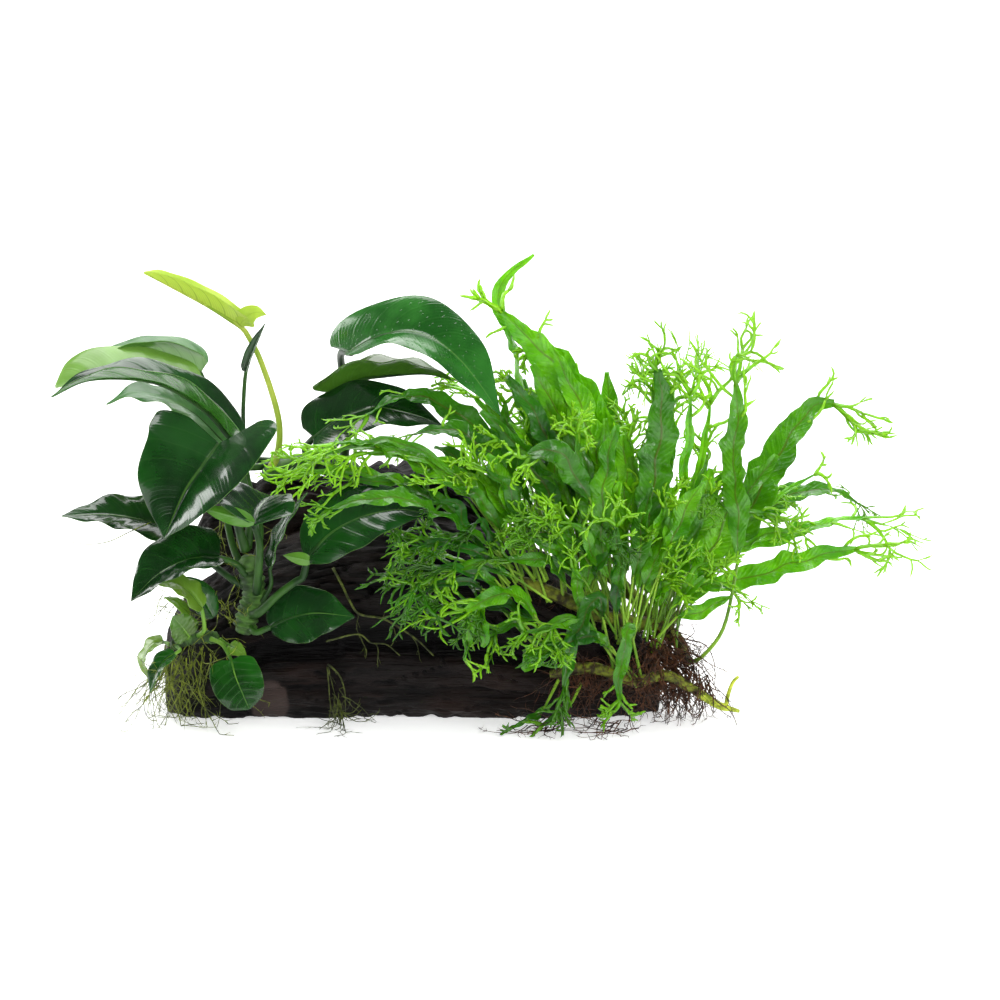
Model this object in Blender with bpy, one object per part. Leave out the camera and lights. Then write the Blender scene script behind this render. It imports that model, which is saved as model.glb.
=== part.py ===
"""A driftwood log with two water plants grown onto it: an Anubias at its left end, and a lace
java fern at its right end. Run with: blender --background --python part.py

The frame is in metres, +Z up. X runs along the log, and -Y is its front. The origin is under the
middle of the log, on the flat face that it rests on. The tables below are in millimetres."""

import math

import bmesh
import bpy
import numpy as np

MM = 0.001
GAP = 0.35  # between pieces that touch

# The log: its length is set by the first and last station.
# Each row: x, height, y of the front face, y of the back face.
TRUNK = (
    (-117, 30, -22, 14), (-112, 42, -31, 22), (-104, 52, -36, 28), (-92, 60, -39, 34),
    (-78, 72, -40, 38), (-60, 80, -40, 40), (-40, 84, -40, 41), (-20, 86, -38, 41),
    (0, 87, -38, 40), (20, 83, -39, 38), (40, 75, -40, 37), (58, 65, -40, 36),
    (74, 54, -39, 35), (88, 42, -35, 32), (98, 31, -27, 26), (106, 19, -17, 15),
)
TRUNK_RINGS = 25
# The corners of one ring, in degrees from the front face, going up and over to the back.
RING_DEGREES = (-8, 0, 9, 26, 44, 62, 80, 98, 116, 136, 158, 180, 202, 226, 250, 270, 292, 316, 337)
ROUNDNESS = 2.6  # the exponent of the section's superellipse: 2 is an ellipse
MIDDLE_SHARE = 0.42  # the height of the section's widest line, as a share of the whole height
SUNK_SHARE = 1.25  # how far the section would reach below the floor, which cuts it flat
CREVICE_DEPTH = 9
CREVICE_DEGREES = 9
CREVICE_SPAN = (-100, 66)
FRONT_SHARE_MOST = 0.97  # how near to the trunk's top or bottom a root can follow its front

# The limb lies along the top of the trunk. Each row: x, y of its middle, half its depth, lowest z
# (it never goes below the trunk's top), highest z.
LIMB = (
    (-105, -3, 4, 70, 77), (-99, 1, 11, 66, 84), (-88, 7, 16, 66, 91), (-74, 13, 20, 60, 100),
    (-60, 17, 22, 60, 100), (-42, 20, 23, 60, 99), (-24, 20, 23, 60, 103), (-8, 19, 22, 60, 104),
    (8, 17, 20, 60, 100), (22, 14, 15, 60, 92), (34, 12, 8, 60, 82),
)
LIMB_RINGS = 16
LIMB_CORNERS = 12
LIMB_CUT = 0.6  # the share of the section's lower half that is left above its flat underside

# The creeping stems: radius, then the points of the middle line.
RHIZOMES = {
    "anubias_rhizome_main": (5.2, (
        (-81, -47, 43), (-79, -47, 51), (-76, -48, 60), (-77, -49, 69), (-79, -50, 79))),
    "anubias_rhizome_back": (4.6, (
        (-72, 2, 105), (-62, 10, 107), (-50, 27, 105), (-38, 47, 98), (-24, 52, 92))),
    "anubias_rhizome_small": (2.8, (
        (-113, -47, 37), (-106, -50, 41), (-98, -50, 42), (-92, -48, 41))),
    "fern_rhizome_front": (3.6, (
        (56, -46, 24), (75, -47, 27), (94, -46, 21), (108, -44, 23), (120, -41, 16), (131, -37, 8),
        (141, -34, 4.2))),
    "fern_rhizome_top": (3.8, (
        (42, -39, 66), (60, -38, 58), (78, -36, 49), (94, -30, 44), (106, -24, 41), (114, -21, 33),
        (118, -20, 22))),
    "fern_rhizome_back": (3.8, (
        (42, 6, 82), (58, 11, 73), (76, 13, 62), (92, 11, 49), (104, 6, 37), (112, 2, 27))),
}
RHIZOME_END = 0.75  # the radius of each end, as a share of the stem's
RHIZOME_SIDES = 8

LEAF_THICK = 1.3
# Half the width of an Anubias blade against the distance from its base to its tip.
LEAF_STATIONS = (0, 0.07, 0.18, 0.32, 0.48, 0.64, 0.78, 0.9, 1)
LEAF_WIDTHS = (0.7, 0.9, 1.0, 1.0, 0.92, 0.74, 0.5, 0.24, 0.02)
LOBE_REACH = 0.4  # the share of the blade over which its base lobes are swept back
LOBE_SWEEP = 1.4  # more than 1 leaves the middle of the blade where it is and sweeps its edges

FROND_THICK = 1.1
FROND_STATIONS = (0, 0.12, 0.3, 0.5, 0.7, 0.88, 1)
FROND_WIDTHS = (0.12, 0.55, 0.92, 1.0, 0.85, 0.5, 0.22)
CREST_STATIONS = (0.3, 0.62, 1)
CREST_WIDTHS = (0.7, 1.0, 0.08)


def clear_scene():
    for old in list(bpy.data.objects):
        bpy.data.objects.remove(old, do_unlink=True)


def finish(name, colour, roughness):
    """A plain Principled material."""
    material = bpy.data.materials.new(name)
    material.use_nodes = True
    shader = material.node_tree.nodes["Principled BSDF"]
    shader.inputs["Base Color"].default_value = (*colour, 1)
    shader.inputs["Roughness"].default_value = roughness
    shader.inputs["Metallic"].default_value = 0
    return material


def unit(vector):
    return vector / np.linalg.norm(vector)


def read_at(rows, x, column):
    """A column of a table read at x, in a straight line from row to row."""
    return np.interp(x, [row[0] for row in rows], [row[column] for row in rows])


def curve_at(points, shares):
    """The points at these shares of the length of a smooth curve through the given points."""
    knots = np.array(points, float)
    ends = np.vstack([2 * knots[0] - knots[1], knots, 2 * knots[-1] - knots[-2]])
    steps = np.linspace(0, 1, 16, endpoint=False)[:, None]
    runs = []
    for a, b, c, d in zip(ends, ends[1:], ends[2:], ends[3:]):
        bend = (2 * a - 5 * b + 4 * c - d) * steps**2 + (3 * b - a - 3 * c + d) * steps**3
        runs.append(0.5 * (2 * b + (c - a) * steps + bend))
    fine = np.vstack([*runs, knots[-1:]])
    lengths = np.linalg.norm(np.diff(fine, axis=0), axis=1)
    along = np.concatenate([[0], np.cumsum(lengths)])
    wanted = np.array(shares) * along[-1]
    return np.column_stack([np.interp(wanted, along, fine[:, axis]) for axis in range(3)])


def directions(points):
    """The unit direction of travel at each point."""
    return np.array([unit(step) for step in np.gradient(points, axis=0)])


def loft(name, rings, material):
    """A closed solid through rings that have the same number of corners, given in millimetres."""
    shape = bmesh.new()
    placed = [[shape.verts.new(corner * MM) for corner in np.array(ring)] for ring in rings]
    for ring, following in zip(placed, placed[1:]):
        for k in range(len(ring)):
            after = (k + 1) % len(ring)
            shape.faces.new((ring[k], ring[after], following[after], following[k]))
    shape.faces.new(placed[0])
    shape.faces.new(placed[-1])
    bmesh.ops.triangulate(shape, faces=shape.faces[:])
    bmesh.ops.recalc_face_normals(shape, faces=shape.faces[:])
    mesh = bpy.data.meshes.new(name)
    shape.to_mesh(mesh)
    shape.free()
    mesh.shade_smooth()
    mesh.materials.append(material)
    thing = bpy.data.objects.new(name, mesh)
    bpy.context.scene.collection.objects.link(thing)
    return thing


def tube_rings(points, radii, sides):
    """Round rings across a path, turned as little as possible from one to the next."""
    across = np.array((0.0, 0.0, 1.0))
    rings = []
    for centre, travel, radius in zip(points, directions(points), radii):
        if abs(travel @ unit(across)) > 0.95:
            across = across + np.array((0.0, 1.0, 0.0))
        across = unit(across - travel * (across @ travel))
        beside = np.cross(travel, across)
        turns = [2 * math.pi * k / sides for k in range(sides)]
        rings.append([centre + radius * (math.cos(t) * across + math.sin(t) * beside) for t in turns])
    return rings


# The driftwood


def signed_power(value, power):
    return math.copysign(abs(value) ** power, value)


def trunk_point(x, degrees):
    """A point on the trunk's surface at x, this many degrees round from its front."""
    height, front, back = (read_at(TRUNK, x, column) for column in (1, 2, 3))
    middle = MIDDLE_SHARE * height
    turn = math.radians(degrees)
    reach = height - middle if math.sin(turn) > 0 else SUNK_SHARE * middle
    out = signed_power(math.cos(turn), 2 / ROUNDNESS)
    up = signed_power(math.sin(turn), 2 / ROUNDNESS)
    y = (front + back) / 2 - (back - front) / 2 * out
    away = (degrees + 180) % 360 - 180
    if CREVICE_SPAN[0] < x < CREVICE_SPAN[1]:
        y += CREVICE_DEPTH * max(0, 1 - abs(away) / CREVICE_DEGREES)
    return np.array((x, y, max(0, middle + reach * up)))


def trunk_front(x, z, lift):
    """A point this far in front of the trunk's face, at a height z."""
    height, front, back = (read_at(TRUNK, x, column) for column in (1, 2, 3))
    middle = MIDDLE_SHARE * height
    reach = height - middle if z > middle else SUNK_SHARE * middle
    share = min(abs(z - middle) / reach, FRONT_SHARE_MOST)
    out = (1 - share**ROUNDNESS) ** (1 / ROUNDNESS)
    return np.array((x, (front + back) / 2 - (back - front) / 2 * out - lift, z))


def trunk(material):
    places = np.linspace(TRUNK[0][0], TRUNK[-1][0], TRUNK_RINGS)
    loft("driftwood_trunk", [[trunk_point(x, d) for d in RING_DEGREES] for x in places], material)


def limb_ring(x):
    middle, deep, low, high = (read_at(LIMB, x, column) for column in (1, 2, 3, 4))
    ends = np.linspace(TRUNK[0][0], TRUNK[-1][0], TRUNK_RINGS)
    floor = np.interp(x, ends, [read_at(TRUNK, place, 1) for place in ends])
    low = max(low, floor + GAP)
    ring = []
    for k in range(LIMB_CORNERS):
        turn = 2 * math.pi * k / LIMB_CORNERS
        out = signed_power(math.cos(turn), 2 / ROUNDNESS)
        up = max(signed_power(math.sin(turn), 2 / ROUNDNESS), -LIMB_CUT)
        share = (up + LIMB_CUT) / (1 + LIMB_CUT)
        ring.append((x, middle - deep * out, low + (high - low) * share))
    return ring


def limb(material):
    places = np.linspace(LIMB[0][0], LIMB[-1][0], LIMB_RINGS)
    loft("driftwood_upper_limb", [limb_ring(x) for x in places], material)


# The creeping stems


def rhizome(name, material):
    radius, knots = RHIZOMES[name]
    line = curve_at(knots, np.linspace(0, 1, 2 * len(knots)))
    radii = [radius] * len(line)
    radii[0] = radii[-1] = RHIZOME_END * radius
    loft(name, tube_rings(line, radii, RHIZOME_SIDES), material)


def sprout(name, share, towards, stalk):
    """Where a stalk starts, just clear of a rhizome: square to its side, or straight off its end."""
    radius, knots = RHIZOMES[name]
    before, centre, after = curve_at(knots, [max(share - 0.02, 0), share, min(share + 0.02, 1)])
    travel = unit(after - before)
    way = np.array(towards, float) - centre
    if 0.03 < share < 0.97:
        way -= travel * (way @ travel)
    return centre + (radius + GAP + stalk) * unit(way)


# Leaves and fronds


def turned_ring(centre, side, normal, radius, corners):
    """A stalk's round ring, whose first corner lies at minus the side."""
    turns = [math.pi - 2 * math.pi * k / corners for k in range(corners)]
    return [centre + radius * (math.cos(t) * side + math.sin(t) * normal) for t in turns]


def frames(points, facing):
    """For each point: the direction of travel, the side, and the normal nearest to the facing."""
    sides = [unit(np.cross(travel, facing)) for travel in directions(points)]
    return [(travel, side, np.cross(side, travel)) for travel, side in zip(directions(points), sides)]


def stalk_rings(points, side, radius, corners):
    """A stalk's rings, all turned to match the side of the blade that it carries."""
    rings = []
    for centre, travel in zip(points, directions(points)):
        across = unit(side - travel * (side @ travel))
        rings.append(turned_ring(centre, across, np.cross(across, travel), radius, corners))
    return rings


def pair(value):
    """The same value for both sides of a blade, or the two that are given."""
    return value if isinstance(value, tuple) else (value, value)


def blade_ring(centre, frame, widths, fold, backs, thick):
    """Eight corners across a folded blade: its two edges, and three above and three below."""
    travel, side, normal = frame

    def corner(across, lift):
        width = widths[across > 0] * abs(across)
        back = backs[across > 0] * abs(across) ** LOBE_SWEEP
        spread = side * (math.copysign(width, across) * math.cos(fold))
        return centre + spread + normal * (width * math.sin(fold) + lift) - travel * back

    upper = [corner(across, thick / 2) for across in (-0.5, 0, 0.5)]
    lower = [corner(across, -thick / 2) for across in (0.5, 0, -0.5)]
    return [corner(-1, 0), *upper, corner(1, 0), *lower]


def side_widths(share, half_width, shoulder):
    """Half the blade's width on each side at this share of its length."""
    width = np.interp(share, LEAF_STATIONS, LEAF_WIDTHS)
    narrowing = max(0, 1 - share / LOBE_REACH) ** 1.5
    return [half * width * (1 - (1 - base) * narrowing) for half, base in zip(half_width, shoulder)]


def leaf(name, material, stem, at, petiole, midrib, half_width, facing, fold=20, lobe=0,
         shoulder=0.95, stalk=1.6):
    """An Anubias leaf: a stalk from a rhizome, and a blade folded along its midrib.

    Half width, lobe and shoulder are one number, or one for each side: left, then right."""
    base = midrib[0]
    start = sprout(stem, at, petiole[0] if petiole else base, stalk)
    blade = curve_at(midrib, LEAF_STATIONS)
    blade_frames = frames(blade, facing)
    stalk_line = curve_at([start, *petiole, base], np.linspace(0, 1, 4 + len(petiole)))
    rings = stalk_rings(stalk_line, blade_frames[0][1], stalk, 8)[:-1]
    for centre, frame, share in zip(blade, blade_frames, LEAF_STATIONS):
        widths = side_widths(share, pair(half_width), pair(shoulder))
        backs = [reach * max(0, 1 - share / LOBE_REACH) ** 2 for reach in pair(lobe)]
        rings.append(blade_ring(centre, frame, widths, math.radians(fold), backs, LEAF_THICK))
    loft(name, rings, material)


def frond_ring(centre, frame, width, thick):
    """Four corners across a thin blade: its two edges, one above and one below."""
    _, side, normal = frame
    return [
        centre - side * width,
        centre + normal * thick / 2,
        centre + side * width,
        centre - normal * thick / 2,
    ]


def frond(name, material, stem, at, petiole, blade, crest, half_width, crest_width, facing,
          stalk=0.9):
    """A java fern frond: a thin stalk, a strap blade, and a flat crest as wide as its forked tip."""
    start = sprout(stem, at, petiole[0], stalk)
    whole = [*petiole[-1:], *blade, crest]
    count_blade = len(FROND_STATIONS)
    crest_share = np.linalg.norm(np.subtract(crest, blade[-1]))
    blade_length = sum(np.linalg.norm(np.subtract(b, a)) for a, b in zip(whole, whole[1:])) - crest_share
    split = blade_length / (blade_length + crest_share)
    shares = [split * s for s in FROND_STATIONS] + [split + (1 - split) * s for s in CREST_STATIONS]
    widths = [half_width * w for w in FROND_WIDTHS] + [crest_width * w for w in CREST_WIDTHS]
    line = curve_at(whole, shares)
    line_frames = frames(line, facing)
    stalk_line = curve_at([start, *petiole], np.linspace(0, 1, 2 + 2 * len(petiole)))
    rings = stalk_rings(stalk_line, line_frames[0][1], stalk, 4)[:-1]
    for centre, frame, width in zip(line, line_frames, widths):
        rings.append(frond_ring(centre, frame, width, FROND_THICK))
    loft(name, rings, material)


def anubias_leaves(dark, fresh):
    main, back, small = "anubias_rhizome_main", "anubias_rhizome_back", "anubias_rhizome_small"
    up = (0, 0.1, 1)
    leaf("anubias_leaf_new_rolled", fresh, back, 0.04, [(-66, 0, 116), (-66, 2, 132), (-74, 6, 157)],
         [(-82, 8, 172), (-97, 5, 182), (-113, 2, 191), (-126, 0, 198)], 10, (0.5, -0.1, 0.85), fold=62,
         stalk=1.5)
    leaf("anubias_leaf_spear", dark, main, 0.9, [(-73, -42, 90), (-79, -32, 112), (-81, -27, 136)],
         [(-80, -26, 158), (-77, -26, 167), (-71, -26, 180)], 4, (-0.5, -0.8, 0.3), fold=40, stalk=1.1)
    leaf("anubias_leaf_far_left", fresh, back, 0.27, [(-72, 20, 126), (-86, 22, 144)],
         [(-101, 23, 148), (-115, 24, 152), (-133, 24, 152), (-150, 23, 149)], 18, up, fold=38, lobe=3)
    leaf("anubias_leaf_yellow_left", fresh, back, 0.14, [(-76, 4, 122), (-88, 2, 136)],
         [(-103, 0, 143), (-124, 1, 149), (-148, 2, 151), (-166, 2, 144)], 17, up, fold=30, lobe=3)
    leaf("anubias_leaf_long_gutter", dark, main, 1, [(-78, -47, 100)],
         [(-85, -45, 131), (-98, -44, 145), (-120, -44, 157), (-148, -44, 158), (-166, -44, 150)],
         (19, 15), (0, -0.05, 1), fold=34, lobe=4, stalk=1.8)
    leaf("anubias_leaf_under_gutter", dark, main, 0.72, [(-86, -44, 84), (-90, -36, 106)],
         [(-89, -32, 126), (-102, -30, 139), (-117, -30, 147), (-130, -30, 149), (-142, -31, 144)],
         13, (0, -0.25, 1), fold=10, lobe=3)
    leaf("anubias_leaf_front_heart", dark, main, 1, [(-84, -57, 99)],
         [(-91, -62, 133), (-98, -69, 124), (-106, -74, 113), (-115, -79, 93)],
         (30, 26), (-0.43, -0.87, 0.25), fold=28, lobe=(24, 7), stalk=2)
    leaf("anubias_leaf_left_point", dark, main, 0.62, [(-87, -49, 69), (-100, -42, 78)],
         [(-110, -38, 86), (-124, -38, 92), (-140, -38, 95), (-162, -40, 95)], 14, (0, -0.45, 0.9), fold=16,
         lobe=3)
    leaf("anubias_leaf_front_low", dark, main, 0.8, [(-84, -57, 77)],
         [(-91, -63, 81), (-104, -66, 81), (-118, -71, 75), (-130, -76, 64)], (18, 16),
         (-0.1, -0.53, 0.85), fold=30, lobe=2)
    leaf("anubias_leaf_pale_small", fresh, small, 0.6, [(-99, -60, 50)],
         [(-102, -62, 59), (-107, -64, 66), (-113, -65, 70), (-120, -65, 71)], 6, (0.4, 0.5, 0.75),
         fold=10, stalk=1)
    leaf("anubias_leaf_base_v", dark, main, 0.55, [(-74, -58, 72), (-73, -68, 88)],
         [(-75, -82, 100), (-74, -75, 104), (-71, -67, 107), (-68, -59, 108)], 20, (0.1, -0.1, 1), fold=24,
         lobe=3, stalk=1.8)
    leaf("anubias_leaf_brown_edge", dark, main, 0.42, [(-68.5, -53, 66)],
         [(-69, -53.5, 74), (-66, -54, 86), (-60, -55, 98), (-52, -55, 109)], 6, (-0.9, -0.3, 0.2), fold=12,
         stalk=1.1)
    leaf("anubias_leaf_over_log", dark, main, 0.28,
         [(-73, -56, 55), (-65, -57, 63), (-57, -57, 69), (-54, -57, 71)],
         [(-52, -57, 77), (-42, -56, 85), (-28, -55, 92), (-12, -55, 94), (2, -55, 92)], (16, 14),
         (-0.1, -0.6, 0.77), fold=6, lobe=(2, 8), shoulder=(0.5, 0.9), stalk=1.9)
    leaf("anubias_leaf_low_dark", dark, main, 0.1, [(-75, -54, 45)],
         [(-69, -53, 47), (-60, -52, 51), (-48, -51, 53), (-31, -50, 51)], 14, (0, -0.88, 0.47), fold=8,
         shoulder=0.6)
    leaf("anubias_leaf_round", fresh, small, 0.8, [(-90, -57, 40)],
         [(-86, -62, 34), (-84, -65, 27), (-81, -67, 20), (-78, -68, 13)], 11.5, (0, -0.93, 0.37), fold=4,
         lobe=2, stalk=1)
    leaf("anubias_leaf_tiny_right", fresh, small, 0.97, [],
         [(-87, -54, 39), (-84, -57, 38), (-79, -60, 35)], 3.5, (0, -0.8, 0.6), fold=8, stalk=0.9)
    leaf("anubias_leaf_low_left", fresh, small, 0.15, [(-109, -59, 38)],
         [(-111, -62, 37), (-116, -63, 34), (-120, -64, 28), (-122, -65, 20)], 4.5, (-0.5, -0.7, 0.5),
         fold=25, stalk=0.9)
    leaf("anubias_leaf_low_left_pale", fresh, small, 0.03, [],
         [(-117, -42, 38), (-122, -41, 36), (-126, -40, 29), (-124, -40, 21)], 5.5, (-0.6, -0.3, 0.7),
         fold=15, stalk=0.9)
    leaf("anubias_leaf_small_bright", fresh, small, 0.4, [],
         [(-105, -57, 44), (-108, -60, 49), (-112, -62, 54)], 6.5, (0, -0.9, 0.4), fold=12, stalk=1)
    leaf("anubias_leaf_top_large", dark, back, 0.78, [(-36, 48, 118), (-37, 36, 140), (-38, 24, 156)],
         [(-34, 8, 160), (-22, 2, 168), (-8, -4, 172), (5, -10, 169), (16, -16, 161), (25, -23, 151),
          (31, -29, 143), (34, -32, 139)], (18, 19), (0, -0.56, 0.83), fold=26, lobe=(16, 2),
         shoulder=(0.85, 0.35), stalk=2)
    leaf("anubias_leaf_top_middle", dark, back, 0.58, [(-46, 24, 120)],
         [(-42, 14, 140), (-30, 12, 147), (-18, 11, 149), (0, 10, 150), (13, 10, 147)], 15, up, fold=36,
         lobe=(3, 10), stalk=1.7)
    leaf("anubias_leaf_top_dark", dark, back, 0.36, [(-54, 6, 116)],
         [(-50, -2, 123), (-38, -3, 132), (-22, -4, 137), (-5, -5, 134), (8, -6, 129)], 16, (0, -0.6, 0.8),
         fold=14, lobe=4, stalk=1.7)


def fern_fronds(green):
    front, top, back = "fern_rhizome_front", "fern_rhizome_top", "fern_rhizome_back"
    outward = (-0.6, -0.6, 0.5)
    frond("fern_frond_tall", green, top, 0.5, [(84, -28, 90)],
          [(79, -20, 129), (72, -17, 141), (58, -14, 159), (42, -12, 175), (34, -12, 183)],
          (27, -12, 196), 10, 9, (-0.5, -0.7, 0.4))
    frond("fern_frond_tall_behind", green, back, 0.3, [(64, 8, 100)],
          [(62, 4, 120), (59, 2, 134), (54, 1, 150), (48, 2, 161)], (40, 2, 170), 7, 7, outward)
    frond("fern_frond_dark_left", green, top, 0.22, [(62, -28, 88)],
          [(56, -22, 120), (50, -19, 134), (43, -17, 145), (37, -16, 152)], (30, -14, 158), 6, 6, outward)
    frond("fern_frond_tongue", green, back, 0.12, [(48, 12, 110)],
          [(42, 12, 140), (36, 12, 165), (34, 10, 182), (36, 8, 193)], (48, 6, 206), 4, 3, (-0.7, -0.6, 0.2))
    frond("fern_frond_arch_high", green, top, 0.12, [(50, -33, 94)],
          [(36, -27, 117), (22, -23, 132), (8, -21, 142), (-10, -22, 146), (-26, -26, 138)],
          (-44, -33, 128), 5.5, 9, (0, -0.5, 0.85))
    frond("fern_frond_arch_mid", green, top, 0.07, [(48, -40, 88)],
          [(36, -38, 112), (24, -37, 128), (10, -37, 134), (-6, -35, 131)], (-24, -34, 118), 5, 9,
          (0, -0.5, 0.85))
    frond("fern_frond_arch_left", green, top, 0.03, [(40, -46, 84)],
          [(25, -45, 106), (8, -44, 116), (-8, -44, 122), (-24, -45, 129), (-40, -48, 130)],
          (-66, -54, 120), 5.5, 13, (0, -0.5, 0.85))
    frond("fern_frond_over_leaf", green, top, 0.0, [(34, -50, 80)],
          [(20, -58, 92), (2, -62, 103), (-12, -66, 109), (-28, -67, 108), (-42, -68, 104)],
          (-57, -70, 100), 4.5, 7, (0, -0.5, 0.85))
    frond("fern_frond_low_left", green, front, 0.04, [(50, -56, 52)],
          [(40, -59, 64), (30, -61, 62), (18, -63, 57)], (-12, -65, 49), 4.5, 11, (0, -0.7, 0.7))
    frond("fern_frond_front_droop", green, front, 0.3, [(80, -54, 50)],
          [(78, -60, 62), (71, -64, 54), (65, -68, 40), (62, -72, 24)], (63, -75, 3), 5, 8,
          (-0.1, -0.9, 0.3))
    frond("fern_frond_front_droop_right", green, front, 0.45, [(93, -54, 42)],
          [(92, -60, 49), (89, -64, 40), (87, -67, 28), (87, -70, 17)], (85, -73, 3), 4, 7,
          (0.1, -0.9, 0.3))
    frond("fern_frond_right_low", green, top, 0.82, [(116, -31, 52)],
          [(124, -31, 60), (132, -32, 62), (139, -33, 59)], (155, -35, 50), 4, 8, (0, -0.6, 0.8))
    frond("fern_frond_right_mid", green, top, 0.8, [(118, -16, 58)],
          [(130, -14, 63), (146, -13, 69), (162, -12, 74), (178, -12, 79), (190, -12, 82)],
          (214, -14, 72), 5.5, 13, (0, -0.6, 0.8))
    frond("fern_frond_right_thin", green, back, 0.85, [(120, 2, 66)],
          [(138, 4, 80), (152, 6, 82), (170, 7, 86), (188, 8, 91)], (232, 8, 84), 3.5, 12, (0, -0.6, 0.8))
    frond("fern_frond_right_arch", green, back, 0.73, [(116, 14, 70)],
          [(136, 18, 88), (154, 20, 97), (174, 22, 99), (187, 22, 92)], (204, 22, 80), 5, 10, (0, -0.6, 0.8))
    frond("fern_frond_right_high", green, top, 0.72, [(120, -4, 80)],
          [(138, -2, 98), (150, -1, 114), (160, 0, 130), (170, 1, 141), (178, 1, 142)], (213, 1, 126), 8, 14,
          (-0.5, -0.6, 0.6))
    frond("fern_frond_right_tall", green, top, 0.98, [(124, -34, 29), (134, -38, 44), (140, -37, 74)],
          [(140, -33, 98), (138, -29, 118), (140, -26, 138), (139, -24, 152)], (138, -20, 188), 6, 12,
          (-0.2, -0.9, 0.2))
    frond("fern_frond_centre_tall", green, top, 0.62, [(99, -36, 80)],
          [(102, -36, 108), (105, -34, 128), (106, -32, 146), (104, -31, 160)], (104, -29, 180), 7, 11,
          (0.1, -0.95, 0.2))
    frond("fern_frond_twisted", green, top, 0.35, [(78, -44, 76)],
          [(76, -46, 98), (69, -48, 112), (58, -50, 124), (46, -51, 125)], (34, -52, 113), 6, 6,
          (-0.2, -0.7, 0.6))


def small_frond_fans(green):
    """Each fan is a flat outline that the short fronds of one part of the clump fill to their tips."""
    top, back = "fern_rhizome_top", "fern_rhizome_back"
    fans = {
        "fern_small_fronds_left": (top, 0.16, (51, -51, 70), (30, -55, 78), (-4, -58, 80), 14),
        "fern_small_fronds_centre": (top, 0.45, (76, -30, 84), (72, -27, 105), (68, -26, 122), 9),
        "fern_small_fronds_behind": (back, 0.55, (84, 17, 88), (88, 29, 114), (90, 41, 143), 16),
        "fern_small_fronds_right": (back, 0.62, (103, 14, 66), (109, 9, 92), (119, 6, 116), 11),
    }
    for name, (stem, at, low, middle, tip, half_width) in fans.items():
        frond(name, green, stem, at, [low], [middle], tip, half_width, half_width, (0, -0.95, 0.3))


# The roots


def ellipse_ring(centre, across, deep, corners=8):
    turns = [2 * math.pi * k / corners for k in range(corners)]
    x, y, z = centre
    return [(x + across * math.cos(t), y + deep * math.sin(t), z) for t in turns]


def root_skirt(name, material, rows):
    """A mass of roots that hangs and spreads: each row is x, y, z, half its width, half its depth."""
    loft(name, [ellipse_ring(row[:3], row[3], row[4]) for row in rows], material)


def root_on_log(name, material, places, radius, lift=1.6):
    """One long root along the trunk's face, through these x and z."""
    knots = [trunk_front(x, z, lift) for x, z in places]
    line = curve_at(knots, np.linspace(0, 1, 3 * len(knots)))
    loft(name, tube_rings(line, np.linspace(radius, 0.5 * radius, len(line)), 6), material)


def roots(green, brown):
    root_skirt("anubias_roots_left", green, (
        (-106, -46, 35.5, 5, 3), (-107, -48, 28, 9, 4), (-108, -50, 16, 13, 6), (-109, -54, 6, 17, 10),
        (-109, -56, 0.4, 19, 12)))
    root_on_log("anubias_root_upper", green,
                ((-41, 70), (-37, 63), (-33, 55), (-29, 50), (-19, 48), (-10, 43), (-3, 38), (4, 31)), 1.0)
    root_on_log("anubias_root_lower", green, ((-44, 38), (-30, 41), (-24, 37), (-17, 36), (-11, 31)), 0.9)
    root_skirt("anubias_root_tuft", green, (
        (-43, -44, 27, 1.2, 1.2), (-42, -44.5, 20, 1.6, 1.2), (-40, -46, 12, 4, 3), (-35, -52, 5, 10, 8),
        (-32, -60, 0.4, 16, 19)))
    root_skirt("fern_roots_front", brown, (
        (82, -46.5, 15, 19, 2.5), (82, -47, 12, 22, 3.5), (80, -53, 6, 28, 9), (78, -62, 0.4, 34, 18)))
    root_skirt("fern_roots_right", brown, (
        (118, -19, 16.5, 4, 4), (118, -20, 11, 8, 8), (118, -21, 5, 11, 12), (119, -22, 0.4, 14, 14)))


def main():
    clear_scene()
    wood = finish("driftwood", (0.035, 0.024, 0.019), 0.7)
    dark = finish("anubias_dark_green", (0.03, 0.12, 0.04), 0.25)
    fresh = finish("anubias_fresh_green", (0.2, 0.42, 0.08), 0.35)
    stem = finish("anubias_stem_green", (0.12, 0.28, 0.06), 0.4)
    fern = finish("fern_green", (0.13, 0.42, 0.04), 0.4)
    fern_stem = finish("fern_stem_olive", (0.2, 0.22, 0.05), 0.6)
    pale_root = finish("root_olive", (0.25, 0.26, 0.06), 0.6)
    brown_root = finish("root_brown", (0.09, 0.04, 0.02), 0.8)
    trunk(wood)
    limb(wood)
    for name in RHIZOMES:
        rhizome(name, stem if name.startswith("anubias") else fern_stem)
    anubias_leaves(dark, fresh)
    fern_fronds(fern)
    small_frond_fans(fern)
    roots(pale_root, brown_root)


main()
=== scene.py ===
"""The looks of a driftwood log with an Anubias at its left end and a lace java fern at its right.

The tables are in millimetres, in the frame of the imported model: X along the log, -Y its front, Z up."""

import math

import bpy
import numpy as np
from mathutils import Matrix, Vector, noise

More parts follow.
